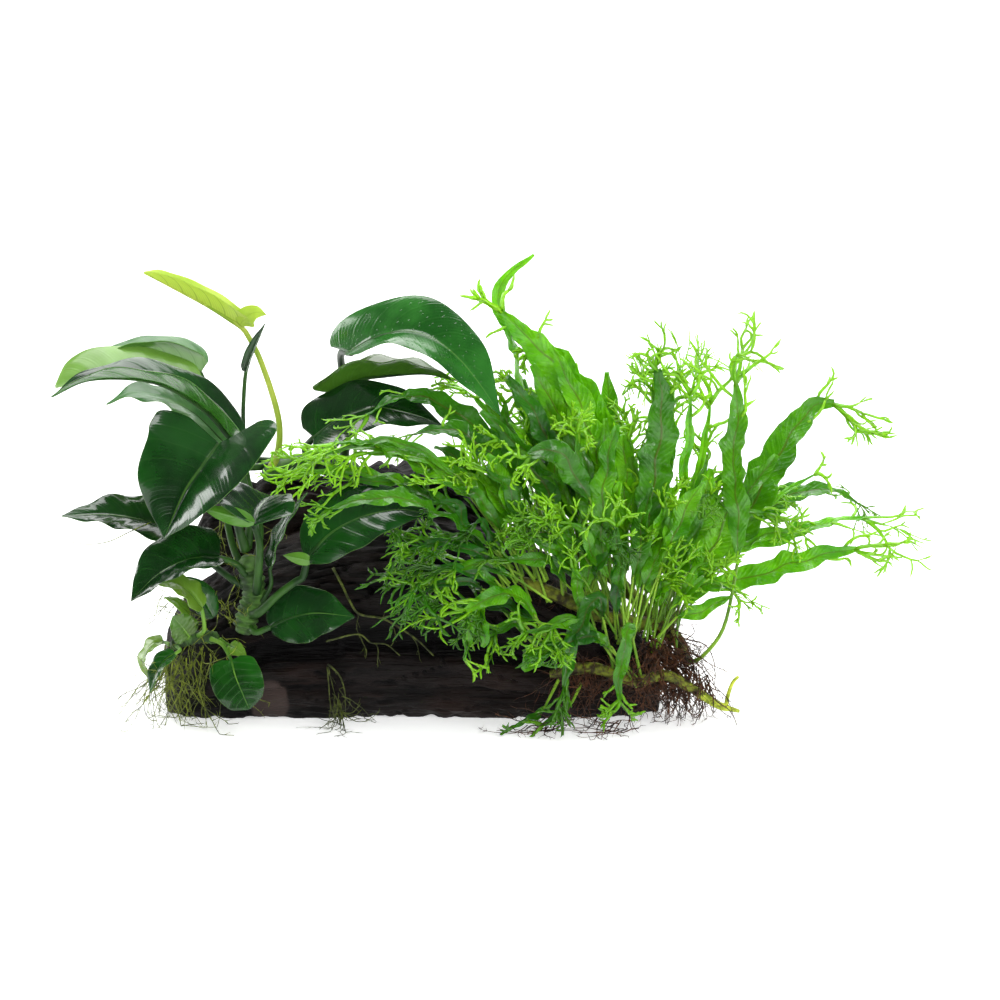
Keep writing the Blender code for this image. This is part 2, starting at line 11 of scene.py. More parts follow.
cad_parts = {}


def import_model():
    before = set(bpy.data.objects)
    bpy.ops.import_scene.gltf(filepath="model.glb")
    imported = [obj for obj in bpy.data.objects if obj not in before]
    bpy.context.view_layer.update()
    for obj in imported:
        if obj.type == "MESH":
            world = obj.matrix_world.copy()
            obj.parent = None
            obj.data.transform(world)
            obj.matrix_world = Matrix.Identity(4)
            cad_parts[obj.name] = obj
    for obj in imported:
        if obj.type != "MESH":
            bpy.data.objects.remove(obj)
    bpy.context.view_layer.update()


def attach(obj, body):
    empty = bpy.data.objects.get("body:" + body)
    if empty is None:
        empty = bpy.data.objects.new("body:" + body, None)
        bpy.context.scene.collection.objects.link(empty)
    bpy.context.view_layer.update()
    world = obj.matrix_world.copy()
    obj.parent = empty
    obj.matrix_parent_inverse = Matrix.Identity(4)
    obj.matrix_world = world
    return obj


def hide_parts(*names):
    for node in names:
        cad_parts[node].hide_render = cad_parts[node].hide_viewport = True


MM = 0.001
BODY = "root"

# The log. Each row: x, height, y of the front face, y of the back face.
TRUNK = (
    (-117, 30, -22, 14), (-112, 42, -31, 22), (-104, 52, -36, 28), (-92, 60, -39, 34),
    (-78, 72, -40, 38), (-60, 80, -40, 40), (-40, 84, -40, 41), (-20, 86, -38, 41),
    (0, 87, -38, 40), (20, 83, -39, 38), (40, 75, -40, 37), (58, 65, -40, 36),
    (74, 54, -39, 35), (88, 42, -35, 32), (98, 31, -27, 26), (106, 19, -17, 15),
)
TRUNK_RINGS = 310
TRUNK_CORNERS = 232
# The radius at which the grain is read round the trunk.
TRUNK_ARC = 45.0
# The section: how square it is, where its middle lies in the height, and how far it would reach below the
# floor, which cuts it off.
ROUNDNESS = 2.6
MIDDLE_SHARE = 0.42
SUNK_SHARE = 1.25
# The long crevice in the front face, and a fainter split this many degrees below it.
CREVICE_DEPTH = 9
CREVICE_DEGREES = 7
CREVICE_SPAN = (-100, 66)
SPLIT_BELOW = 22
SPLIT_DEGREES = 4
# Places on the front face: x, z, half width, half height and, for the scar, how sharp its edge is.
HOLLOW = (7, 72, 13, 5)
HOLLOW_RIM = (7, 72, 19, 9)
SCAR = (-69.5, 8, 9, 12, 8)

# The upper limb. Each row: x, y of its middle, half its depth, lowest z, highest z.
LIMB = (
    (-105, -3, 4, 70, 77), (-99, 1, 11, 66, 84), (-88, 7, 16, 66, 91), (-74, 13, 20, 60, 100),
    (-60, 17, 22, 60, 100), (-42, 20, 23, 60, 99), (-24, 20, 23, 60, 103), (-8, 19, 22, 60, 104),
    (8, 17, 20, 60, 100), (22, 14, 15, 60, 92), (34, 12, 8, 60, 82),
)
# Where its section is cut flat, and how far it is sunk into the trunk.
LIMB_CUT = 0.6
LIMB_SINK = 4
LIMB_RINGS = 200
LIMB_CORNERS = 116
LIMB_ARC = 20.0

# The creeping stems: radius, then the points of the middle line.
RHIZOMES = {
    "anubias_rhizome_main": (5.2, (
        (-81, -47, 43), (-79, -47, 51), (-76, -48, 60), (-77, -49, 69), (-79, -50, 79))),
    "anubias_rhizome_back": (4.6, (
        (-72, 2, 105), (-62, 10, 107), (-50, 27, 105), (-38, 47, 98), (-24, 52, 92))),
    "anubias_rhizome_small": (2.8, (
        (-113, -47, 37), (-106, -50, 41), (-98, -50, 42), (-92, -48, 41))),
    "fern_rhizome_front": (3.6, (
        (56, -46, 24), (75, -47, 27), (94, -46, 21), (108, -44, 23), (120, -41, 16), (131, -37, 8),
        (141, -34, 4.2))),
    "fern_rhizome_top": (3.8, (
        (42, -39, 66), (60, -38, 58), (78, -36, 49), (94, -30, 44), (106, -24, 41), (114, -21, 33),
        (118, -20, 22))),
    "fern_rhizome_back": (3.8, (
        (42, 6, 82), (58, 11, 73), (76, 13, 62), (92, 11, 49), (104, 6, 37), (112, 2, 27))),
}
# The growing tip that stands up from the end of the front stem of the fern.
STUB = ((135, -35.5, 6), (136, -36, 12), (138, -37, 18), (140.5, -38, 21))
STEM_ROWS = 80
STEM_HAIRS = 320

# Half the width of an Anubias blade against the distance from its base to its tip, drawn out or blunt.
LEAF_STATIONS = (0, 0.07, 0.18, 0.32, 0.48, 0.64, 0.78, 0.9, 1)
LEAF_WIDTHS = (0.7, 0.9, 1.0, 1.0, 0.92, 0.74, 0.5, 0.22, 0.01)
BLUNT_WIDTHS = (0.62, 0.84, 0.96, 1.0, 1.0, 0.93, 0.8, 0.58, 0.06)
# How much of the length the base lobes take, and how sharply they sweep back.
LOBE_REACH = 0.4
LOBE_SWEEP = 1.4
LEAF_ROWS = 60
LEAF_COLUMNS = 25
STALK_ROWS = 26
# Waves along a blade's edge, and the scale of the drops on the wet leaf.
WAVES = 3.2
DROPS_SCALE = 420

# The same for a fern blade.
FROND_STATIONS = (0, 0.12, 0.3, 0.5, 0.7, 0.88, 1)
FROND_WIDTHS = (0.1, 0.5, 0.92, 1.0, 0.88, 0.52, 0.2)
FROND_ROWS = 44
SMALL_FROND_ROWS = 24
FROND_COLUMNS = (-1, -0.95, -0.7, -0.38, -0.1, 0.1, 0.38, 0.7, 0.95, 1)
FROND_STALK_ROWS = 16
LOBE_STEPS = 4
CREST_WIDTH = 1.05
# A short frond's crest under this length is left out. A crest above this height is painted paler, as painted
# light on the high crests.
LEAST_CREST = 10
PAINTED_LIGHT_HEIGHT = 110

# How low the crests, the hairs and the roots may reach.
LOBE_FLOOR = 1.3
HAIR_FLOOR = 0.3
ROOT_FLOOR = 0.5
# How likely a hair is at each of the two tries at a root's point.
HAIR_CHANCE = 0.22

MARKS = ("along", "across", "upper", "tone")

# Metres and watts. Each lamp: name, place, size, power, and whether it shows in reflections.
LAMPS = (
    ("top", (-0.2, 0.4, 1.7), (1.3, 1.3), 36, True),
    ("back", (0.2, 1.9, 1.5), (1.8, 1.4), 24, True),
    ("back_fill", (0.2, 2.0, 1.6), (1.8, 1.4), 30, False),
    ("right", (0.8, -1.3, 1.2), (0.4, 1.0), 16, False),
    ("left", (-1.5, 0.3, 0.5), (0.7, 1.2), 22, True),
    ("glints", (1.5, -1.5, 0.35), (0.25, 0.9), 8, True),
    ("front", (0.2, -2.1, 0.9), (1.3, 0.9), 26, False),
)
CAMERA_AIM = Vector((0.03375, 0, 0.09385))
CAMERA_DISTANCE = 5
CAMERA_TILT = 12


# Curves and frames


def unit(vectors):
    vectors = np.asarray(vectors, float)
    return vectors / np.linalg.norm(vectors, axis=-1, keepdims=True)


def smooth_read(places, values, x):
    """A smooth curve through a table of values, read at x."""
    places, values = np.array(places, float), np.array(values, float)
    slopes = np.gradient(values, places)
    x = np.clip(x, places[0], places[-1])
    k = np.clip(np.searchsorted(places, x, side="right") - 1, 0, len(places) - 2)
    step = places[k + 1] - places[k]
    u = (x - places[k]) / step
    rise = values[k] * (2 * u**3 - 3 * u**2 + 1) + values[k + 1] * (3 * u**2 - 2 * u**3)
    return rise + step * (slopes[k] * (u**3 - 2 * u**2 + u) + slopes[k + 1] * (u**3 - u**2))


def column(rows, number):
    return [row[number] for row in rows]


def curve_at(points, shares):
    """The points at these shares of the length of a smooth curve through the given points."""
    knots = np.array(points, float)
    ends = np.vstack([2 * knots[0] - knots[1], knots, 2 * knots[-1] - knots[-2]])
    steps = np.linspace(0, 1, 16, endpoint=False)[:, None]
    runs = []
    for a, b, c, d in zip(ends, ends[1:], ends[2:], ends[3:]):
        bend = (2 * a - 5 * b + 4 * c - d) * steps**2 + (3 * b - a - 3 * c + d) * steps**3
        runs.append(0.5 * (2 * b + (c - a) * steps + bend))
    fine = np.vstack([*runs, knots[-1:]])
    along = np.concatenate([[0], np.cumsum(np.linalg.norm(np.diff(fine, axis=0), axis=1))])
    wanted = np.array(shares) * along[-1]
    return np.column_stack([np.interp(wanted, along, fine[:, axis]) for axis in range(3)])


def frames(points, facing):
    """The direction of travel, the side, and the normal nearest to the facing, at each point."""
    travel = unit(np.gradient(points, axis=0))
    side = unit(np.cross(travel, facing))
    return travel, side, np.cross(side, travel)


def turned(vector, axis, angle):
    """A vector turned about a unit axis."""
    return (vector * math.cos(angle) + np.cross(axis, vector) * math.sin(angle)
            + axis * (axis @ vector) * (1 - math.cos(angle)))


def rolled(side, normal, turn):
    """The side and the normal, both turned about the direction of travel."""
    return side * np.cos(turn) + normal * np.sin(turn), normal * np.cos(turn) - side * np.sin(turn)


# Meshes


def marked(rings, *values):
    """The marks of each corner, in the order of MARKS."""
    marks = np.empty((*rings.shape[:2], len(MARKS)))
    for k, value in enumerate(values):
        marks[:, :, k] = value
    return marks


class Shape:
    """Closed skins collected into one mesh, with numbers kept at their corners for the materials."""

    def __init__(self):
        self.points, self.marks, self.quads, self.caps, self.kinds = [], [], [], [], []
        self.count = 0

    def skin(self, rings, marks, kind=0):
        """A closed skin through rings of corners: rings are rows x corners x 3."""
        rows, corners = rings.shape[:2]
        index = np.arange(rows * corners).reshape(rows, corners)
        after = np.roll(index, -1, axis=1)
        quads = np.stack([index[:-1], after[:-1], after[1:], index[1:]], -1).reshape(-1, 4)
        flat = rings.reshape(-1, 3)
        a, b, c, d = (flat[quads[:, k]] - flat.mean(axis=0) for k in range(4))
        volume = np.einsum("ij,ij->", a, np.cross(b, c)) + np.einsum("ij,ij->", a, np.cross(c, d))
        caps = [index[0][::-1], index[-1]]
        if volume < 0:
            quads = quads[:, ::-1]
            caps = [cap[::-1] for cap in caps]
        self.quads.append(quads + self.count)
        self.caps += [(cap + self.count).tolist() for cap in caps]
        self.kinds.append((len(quads), kind))
        self.points.append(flat)
        self.marks.append(marks.reshape(-1, len(MARKS)))
        self.count += len(flat)

    def make(self, name, materials, node):
        """The mesh as a piece that rides on the part and stands for the named CAD node."""
        faces = np.vstack(self.quads).tolist() + self.caps
        mesh = bpy.data.meshes.new(name)
        mesh.from_pydata((np.vstack(self.points) * MM).tolist(), [], faces)
        values = np.vstack(self.marks)
        for k, mark in enumerate(MARKS):
            kept = mesh.attributes.new(mark, "FLOAT", "POINT")
            kept.data.foreach_set("value", values[:, k].astype(np.float32))
        kinds = np.concatenate([np.full(count, kind) for count, kind in self.kinds]
                               + [np.repeat([kind for _, kind in self.kinds], 2)])
        for material in materials:
            mesh.materials.append(material)
        mesh.polygons.foreach_set("material_index", kinds.astype(np.int32))
        mesh.shade_smooth()
        mesh.update()
        piece = bpy.data.objects.new(name, mesh)
        bpy.context.scene.collection.objects.link(piece)
        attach(piece, BODY)
        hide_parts(node)


def tube(shape, points, radii, sides, tone=0, kind=0):
    """A round skin along a path."""
    points = np.asarray(points, float)
    travel = unit(np.gradient(points, axis=0))
    across = np.array((0.31, 0.52, 0.8))
    turns = np.linspace(0, 2 * math.pi, sides, endpoint=False)
    rings = []
    for centre, ahead, radius in zip(points, travel, np.broadcast_to(radii, len(points))):
        across = unit(across - ahead * (across @ ahead))
        beside = np.cross(ahead, across)
        rings.append(centre + radius * (np.outer(np.cos(turns), across) + np.outer(np.sin(turns), beside)))
    rings = np.array(rings)
    shape.skin(rings, marked(rings, np.linspace(0, 1, len(points))[:, None], 0, 1, tone), kind)


def strip(shape, points, widths, flat, thick, tone, twist, start, end):
    """A narrow ribbon with four corners across, for the fine lobes of a crest."""
    travel = unit(np.gradient(points, axis=0))
    side = unit(np.cross(travel, flat))
    normals = np.cross(side, travel)
    turn = np.linspace(-twist / 2, twist / 2, len(points))[:, None]
    side, normals = rolled(side, normals, turn)
    wide = side * np.asarray(widths)[:, None]
    lift = normals * np.minimum(thick / 2, np.asarray(widths) * 0.8)[:, None]
    rings = np.stack([points - wide, points + lift, points + wide, points - lift], axis=1)
    along = np.linspace(start, end, len(points))[:, None]
    shape.skin(rings, marked(rings, along, (-1, 0, 1, 0), (0, 1, 0, 0), tone))


# Materials


class Nodes:
    """A node tree, with short ways to add nodes."""

    def __init__(self, owner):
        self.owner = owner
        owner.use_nodes = True
        self.tree = owner.node_tree
        self.shader = self.tree.nodes.get("Principled BSDF")

    def add(self, kind, **inputs):
        """A node with values on its inputs."""
        node = self.tree.nodes.new("ShaderNode" + kind)
        for name, value in inputs.items():
            node.inputs[name].default_value = value
        return node

    def link(self, source, target):
        if hasattr(source, "is_output"):
            self.tree.links.new(source, target)
        else:
            target.default_value = source

    def mark(self, name):
        node = self.add("Attribute")
        node.attribute_name = name
        return node.outputs["Fac"]

    def place(self, kind="Object"):
        return self.add("TexCoord").outputs[kind]

    def maths(self, operation, *values):
        node = self.add("Math")
        node.operation = operation
        for value, target in zip(values, node.inputs):
            self.link(value, target)
        return node.outputs[0]

    def times(self, first, second):
        return self.maths("MULTIPLY", first, second)

    def plus(self, first, second):
        return self.maths("ADD", first, second)

    def ripple(self, value, times):
        """A sine wave that passes this many times from 0 to 1."""
        return self.maths("SINE", self.times(value, times * 2 * math.pi))

    def between(self, value, low, high, first=0.0, last=1.0, step="SMOOTHSTEP"):
        """A step from first to last as the value goes from low to high."""
        node = self.add("MapRange")
        node.interpolation_type = step
        for given, target in zip((value, low, high, first, last), node.inputs):
            self.link(given, target)
        return node.outputs[0]

    def mix(self, share, first, second):
        node = self.add("Mix")
        node.data_type = "RGBA"
        self.link(share, node.inputs[0])
        self.link(first, node.inputs[6])
        self.link(second, node.inputs[7])
        return node.outputs[2]

    def noise(self, scale, stretch=(1, 1, 1), detail=3, rough=0.55):
        shift = self.add("Mapping", Scale=stretch)
        made = self.add("TexNoise", Scale=scale, Detail=detail, Roughness=rough)
        self.link(self.place(), shift.inputs["Vector"])
        self.link(shift.outputs[0], made.inputs["Vector"])
        return made.outputs[0]

    def bump(self, height, strength, distance):
        node = self.add("Bump", Strength=strength, Distance=distance)
        self.link(height, node.inputs["Height"])
        self.link(node.outputs[0], self.shader.inputs["Normal"])

    def sheer(self, share, colour):
        """Lets this share of the light come through from behind, tinted."""
        through = self.add("BsdfTranslucent")
        self.link(colour, through.inputs["Color"])
        both = self.add("MixShader")
        both.inputs[0].default_value = share
        self.link(self.shader.outputs[0], both.inputs[1])
        self.link(through.outputs[0], both.inputs[2])
        self.link(both.outputs[0], self.tree.nodes["Material Output"].inputs["Surface"])

    def finish(self, colour, roughness, **values):
        self.link(colour, self.shader.inputs["Base Color"])
        self.link(roughness, self.shader.inputs["Roughness"])
        for name, value in values.items():
            self.shader.inputs[name.replace("_", " ").title().replace("Ior", "IOR")].default_value = value
        return self.owner


def new_material(name):
    return Nodes(bpy.data.materials.new(name))


def rgb(red, green, blue):
    """A colour as a screen shows it, from 0 to 255, made linear."""
    return (*[((c / 255 + 0.055) / 1.055) ** 2.4 for c in (red, green, blue)], 1)


def leaf_material(name, top, light, under, veins, gloss=0.13, sheer=0.1, dew=0.0, vein_share=0.015):
    """An Anubias blade: fine arching veins, a pale midrib that is partly a painted highlight along its
    groove, a darker top and a paler underside.
    """
    n = new_material(name)
    along, across = n.mark("along"), n.mark("across")
    aside = n.maths("ABSOLUTE", across)
    arched = n.maths("SUBTRACT", along, n.times(n.maths("POWER", aside, 1.3), 0.2))
    lines = n.between(n.ripple(arched, veins), 0.86, 1.0)
    fine = n.between(n.ripple(arched, 5 * veins), 0.2, 1.0)
    patches = n.noise(38, detail=4)
    colour = n.mix(n.between(patches, 0.35, 0.7), top, light)
    colour = n.mix(n.times(lines, vein_share), colour, rgb(110, 160, 80))
    colour = n.mix(n.times(fine, 0.5 * vein_share), colour, rgb(80, 140, 60))
    # Pale midrib stripe: partly the midrib's own paler green, partly a painted highlight along its groove.
    colour = n.mix(n.between(aside, 0.012, 0.035, 0.25, 0), colour, rgb(110, 155, 70))
    colour = n.mix(n.between(aside, 0.98, 1.0, 0, 0.3), colour, rgb(120, 165, 70))
    below = n.mix(n.times(lines, 0.3), under, rgb(60, 110, 44))
    below = n.mix(n.times(fine, 0.15), below, rgb(60, 110, 44))
    colour = n.mix(n.between(n.mark("upper"), 0.4, 0.6), below, colour)
    colour = n.mix(n.mark("tone"), colour, rgb(146, 186, 62))
    rough = n.between(n.noise(120, detail=2), 0.3, 0.8, gloss, gloss + 0.1)
    height = n.plus(n.times(lines, 0.22), n.times(fine, 0.07))
    height = n.plus(height, n.times(patches, 0.5))
    if dew:
        drops = n.add("TexVoronoi", Scale=DROPS_SCALE)
        n.link(n.place(), drops.inputs["Vector"])
        height = n.plus(height, n.between(drops.outputs["Distance"], 0.1, 0.24, dew, 0))
    n.bump(height, 0.35, 0.0006)
    n.sheer(sheer, colour)
    return n.finish(colour, rough, specular_ior_level=0.42, coat_weight=0.3, coat_roughness=0.08)


def stalk_material(name, low, high, spots=0.0):
    """A stalk: fine grooves along it, and dark specks on the fern's."""
    n = new_material(name)
    streaks = n.noise(90, (1, 1, 0.3), 3)
    colour = n.mix(n.between(streaks, 0.35, 0.65), low, high)
    specks = n.between(n.noise(900, detail=1), 0.62, 0.7, 0, spots)
    colour = n.mix(specks, colour, rgb(50, 30, 12))
    n.bump(streaks, 0.2, 0.0004)
    return n.finish(colour, 0.45, specular_ior_level=0.3)


def fern_material():
    """Fern blades: clear green, lime in the crests where they are young and paler still in the high crests as
    painted light, with a dark red midrib.
    """
    n = new_material("fern_blade")
    along, aside = n.mark("along"), n.maths("ABSOLUTE", n.mark("across"))
    patches = n.noise(60, detail=4)
    tone = n.mark("tone")
    deep = n.mix(n.between(patches, 0.3, 0.7), rgb(14, 66, 4), rgb(36, 112, 8))
    fresh = n.mix(n.between(patches, 0.3, 0.7), rgb(76, 164, 4), rgb(132, 212, 18))
    colour = n.mix(tone, deep, fresh)
    # Lime crest tips; the tone mark that scales this is raised on high crests as painted light.
    lime = n.times(n.between(along, 0.75, 1.4, 0, 0.8), n.between(tone, 0, 1, 0.1, 1))
    colour = n.mix(lime, colour, rgb(168, 230, 40))
    cells = n.between(n.noise(420, detail=2), 0.35, 0.65)
    colour = n.mix(n.times(cells, 0.2), colour, rgb(16, 72, 5))
    rib = n.times(n.between(aside, 0.03, 0.09, 1, 0), n.between(along, 0.7, 0.85, 1, 0))
    colour = n.mix(n.times(rib, 0.6), colour, rgb(84, 56, 16))
    rough = n.between(n.noise(150, detail=2), 0.3, 0.8, 0.14, 0.34)
    slanted = n.maths("SUBTRACT", along, n.times(aside, 0.07))
    veins = n.between(n.ripple(slanted, 34), -0.3, 0.9)
    inside = n.times(n.between(aside, 0.08, 0.25), n.between(aside, 0.8, 1.0, 1, 0))
    quilt = n.times(veins, n.times(inside, n.between(along, 0.7, 0.8, 1, 0)))
    height = n.plus(n.times(cells, 0.7), n.times(rib, 0.8))
    n.bump(n.plus(height, quilt), 0.5, 0.0007)
    n.sheer(0.36, n.mix(0.5, colour, rgb(170, 235, 24)))
    return n.finish(colour, rough, specular_ior_level=0.5, coat_weight=0.5, coat_roughness=0.1)


def wood_material():
    """Wet-dark driftwood: grooves, crevice, split and hollow painted near-black as shade, brown ridges and a
    smooth pale scar.
    """
    n = new_material("driftwood")
    grain = n.noise(60, (0.12, 1, 1), 6, 0.65)
    fibres = n.noise(420, (0.05, 1, 1), 4, 0.6)
    patches = n.noise(22, (0.6, 1, 1), 3)
    relief_and_shade = n.mark("across")
    colour = n.mix(n.between(grain, 0.38, 0.62), rgb(5, 4, 4), rgb(20, 15, 14))
    colour = n.mix(n.between(patches, 0.5, 0.75, 0, 0.6), colour, rgb(38, 23, 18))
    colour = n.mix(n.between(fibres, 0.55, 0.8, 0, 0.4), colour, rgb(52, 40, 35))
    # The across mark holds the relief plus painted shade: raised parts and the rim of the hollow turn
    # browner, and the grooves, the crevice, the split and the hollow are painted near-black as shade.
    colour = n.mix(n.between(relief_and_shade, 0.15, 0.9, 0, 0.5), colour, rgb(44, 32, 28))
    colour = n.mix(n.between(relief_and_shade, -0.1, -0.8, 0, 0.9), colour, rgb(3, 2, 3))
    colour = n.mix(n.times(n.mark("upper"), 0.85), colour, rgb(56, 46, 43))
    rough = n.between(grain, 0.3, 0.7, 0.75, 0.42)
    n.bump(n.plus(grain, n.times(fibres, 1.3)), 1.0, 0.0018)
    return n.finish(colour, rough, specular_ior_level=0.16)


def fuzzy_material(name, low, high, scale=260):
    """A creeping stem or root: scaly, mottled and dull."""
    n = new_material(name)
    mottle = n.noise(scale, detail=4)
    colour = n.mix(n.between(mottle, 0.35, 0.65), low, high)
    n.bump(mottle, 0.8, 0.0008)
    return n.finish(colour, 0.62, specular_ior_level=0.4)


# The driftwood


def signed_power(values, power):
    return np.sign(values) * np.abs(values) ** power


def trunk_front(x, z, lift):
    """A point this far in front of the trunk's face, at a height z."""
    height, front, back = (np.interp(x, column(TRUNK, 0), column(TRUNK, k)) for k in (1, 2, 3))
    middle = MIDDLE_SHARE * height
    reach = height - middle if z > middle else SUNK_SHARE * middle
    out = (1 - min(abs(z - middle) / reach, 0.97) ** ROUNDNESS) ** (1 / ROUNDNESS)
    return np.array((x, (front + back) / 2 - (back - front) / 2 * out - lift, z))


def uneven(*place):
    """Smooth noise at a place, from about -1 to 1."""
    return noise.noise(Vector(place))


def grooves(x, arc, seed):
    """Relief of weathered wood: long ridges and splits, from about -1 to 1."""
    value = 0.5 * uneven(x / 50, arc / 14, seed)
    value += 0.55 * (0.5 - 2 * abs(uneven(x / 32, arc / 5.5, seed + 9)))
    value += 0.42 * (0.5 - 2 * abs(uneven(x / 19, arc / 2.4, seed + 21)))
    split = 1 - abs(uneven(x / 40, arc / 7, seed + 60)) / 0.05
    value -= 0.9 * max(0, split)
    return value + 0.2 * uneven(x / 4, arc / 1.6, seed + 33)


def wooden(shape, rings, arcs, relief, seed, push, shade=0, scar=0):
    """A skin of wood: the rings moved in and out along their own outward direction."""
    out = rings - rings.mean(axis=1, keepdims=True)
    out[:, :, 0] = 0
    out = unit(out + 1e-9)
    depth = np.array([[grooves(ring[0, 0], arc, seed) for arc in arcs] for ring in rings])
    near_floor = np.clip(rings[:, :, 2:] / 6, 0, 1)
    depth = depth * (1 - scar)
    moved = rings + out * (relief * depth + push)[:, :, None] * near_floor
    ragged = np.array([[3.2 * uneven(ring[0, 0] / 6, k / 7, seed + 50)
                        for k in range(len(arcs))] for ring in rings])
    moved[:, :, 2] += ragged * (1 - near_floor[:, :, 0])
    moved[:, :, 2] = np.maximum(moved[:, :, 2], 0)
    # The across mark carries the relief depth plus the painted shade, and the upper mark carries the scar.
    shape.skin(moved, marked(moved, 0, depth + shade, scar, 0))


def closing(rings, count, depth):
    """The rings with both ends drawn in, so that a broken end is rough and not a flat disc."""
    first, last = rings[0], rings[-1]
    starts, ends = [], []
    for k in range(1, count + 1):
        keep = math.cos(k / count * math.pi / 2) ** 0.6
        shift = np.array((depth * math.sin(k / count * math.pi / 2), 0, 0))
        starts.append(first.mean(axis=0) + (first - first.mean(axis=0)) * keep - shift)
        ends.append(last.mean(axis=0) + (last - last.mean(axis=0)) * keep + shift)
    return np.array([*starts[::-1], *rings, *ends])


def trunk_rings(xs, degrees):
    rings = []
    for x in xs:
        height, front, back = (smooth_read(column(TRUNK, 0), column(TRUNK, k), x) for k in (1, 2, 3))
        middle = MIDDLE_SHARE * height
        turn = np.radians(degrees)
        reach = np.where(np.sin(turn) > 0, height - middle, SUNK_SHARE * middle)
        y = (front + back) / 2 - (back - front) / 2 * signed_power(np.cos(turn), 2 / ROUNDNESS)
        z = np.maximum(0, middle + reach * signed_power(np.sin(turn), 2 / ROUNDNESS))
        rings.append(np.column_stack([np.full(len(y), x), y, z]))
    return np.array(rings)


def patch(rings, x, z, wide, high, sharp=1.6):
    """How near each corner is to a place on the trunk's front: 1 in its middle, 0 outside it."""
    far = np.hypot((rings[:, :, 0] - x) / wide, (rings[:, :, 2] - z) / high)
    front = rings[:, :, 1] < 0
    return np.where(front, np.clip(sharp * (1 - far), 0, 1), 0)


def trunk(wood):
    xs = np.linspace(TRUNK[0][0] + 2, TRUNK[-1][0] - 2, TRUNK_RINGS)
    degrees = np.linspace(0, 360, TRUNK_CORNERS, endpoint=False)
    rings = closing(trunk_rings(xs, degrees), 6, 2)
    away = (degrees + 180) % 360 - 180
    spans = rings[:, :1, 0]
    wander = np.array([[3.2 * uneven(x / 28, 4.2, 0)] for x in spans[:, 0]])
    inside = np.clip((spans - CREVICE_SPAN[0]) / 10, 0, 1) * np.clip((CREVICE_SPAN[1] - spans) / 10, 0, 1)
    cut = np.clip(1 - np.abs(away[None, :] - wander) / CREVICE_DEGREES, 0, 1) ** 0.8 * inside
    split = np.clip(1 - np.abs(away[None, :] + SPLIT_BELOW - 2 * wander) / SPLIT_DEGREES, 0, 1) * inside * 0.5
    hollow = patch(rings, *HOLLOW)
    rim = patch(rings, *HOLLOW_RIM) * (1 - hollow)
    push = -CREVICE_DEPTH * cut - 5 * split - 6 * hollow + 1.2 * rim
    # Painted shade: the crevice, the split and the hollow are darkened in colour; the rim of the hollow is
    # made lighter.
    shade = -1.6 * cut - 1.2 * split - 1.6 * hollow + 1.0 * rim
    shape = Shape()
    wooden(shape, rings, np.radians(degrees) * TRUNK_ARC, 2.7, 3.0, push, shade, patch(rings, *SCAR))
    shape.make("trunk", [wood], "driftwood_trunk")


def limb(wood):
    xs = np.linspace(LIMB[0][0] + 2, LIMB[-1][0] - 2, LIMB_RINGS)
    turns = np.linspace(0, 2 * math.pi, LIMB_CORNERS, endpoint=False)
    up = np.maximum(signed_power(np.sin(turns), 2 / ROUNDNESS), -LIMB_CUT)
    out = signed_power(np.cos(turns), 2 / ROUNDNESS)
    rings = []
    for x in xs:
        middle, deep, low, high = (smooth_read(column(LIMB, 0), column(LIMB, k), x) for k in (1, 2, 3, 4))
        low = max(low, np.interp(x, column(TRUNK, 0), column(TRUNK, 1)) - LIMB_SINK)
        z = low + (high - low) * (up + LIMB_CUT) / (1 + LIMB_CUT)
        rings.append(np.column_stack([np.full(len(z), x), middle - deep * out, z]))
    rings = closing(np.array(rings), 5, 2)
    jag = np.array([[5 * uneven(x / 6, k / 8, 7) for k in range(len(turns))]
                    for x in rings[:, 0, 0]]) * np.clip(2 * up, 0.3, 1)
    shape = Shape()
    wooden(shape, rings, turns * LIMB_ARC, 2.6, 14.0, jag)
    shape.make("upper_limb", [wood], "driftwood_upper_limb")


# Anubias leaves


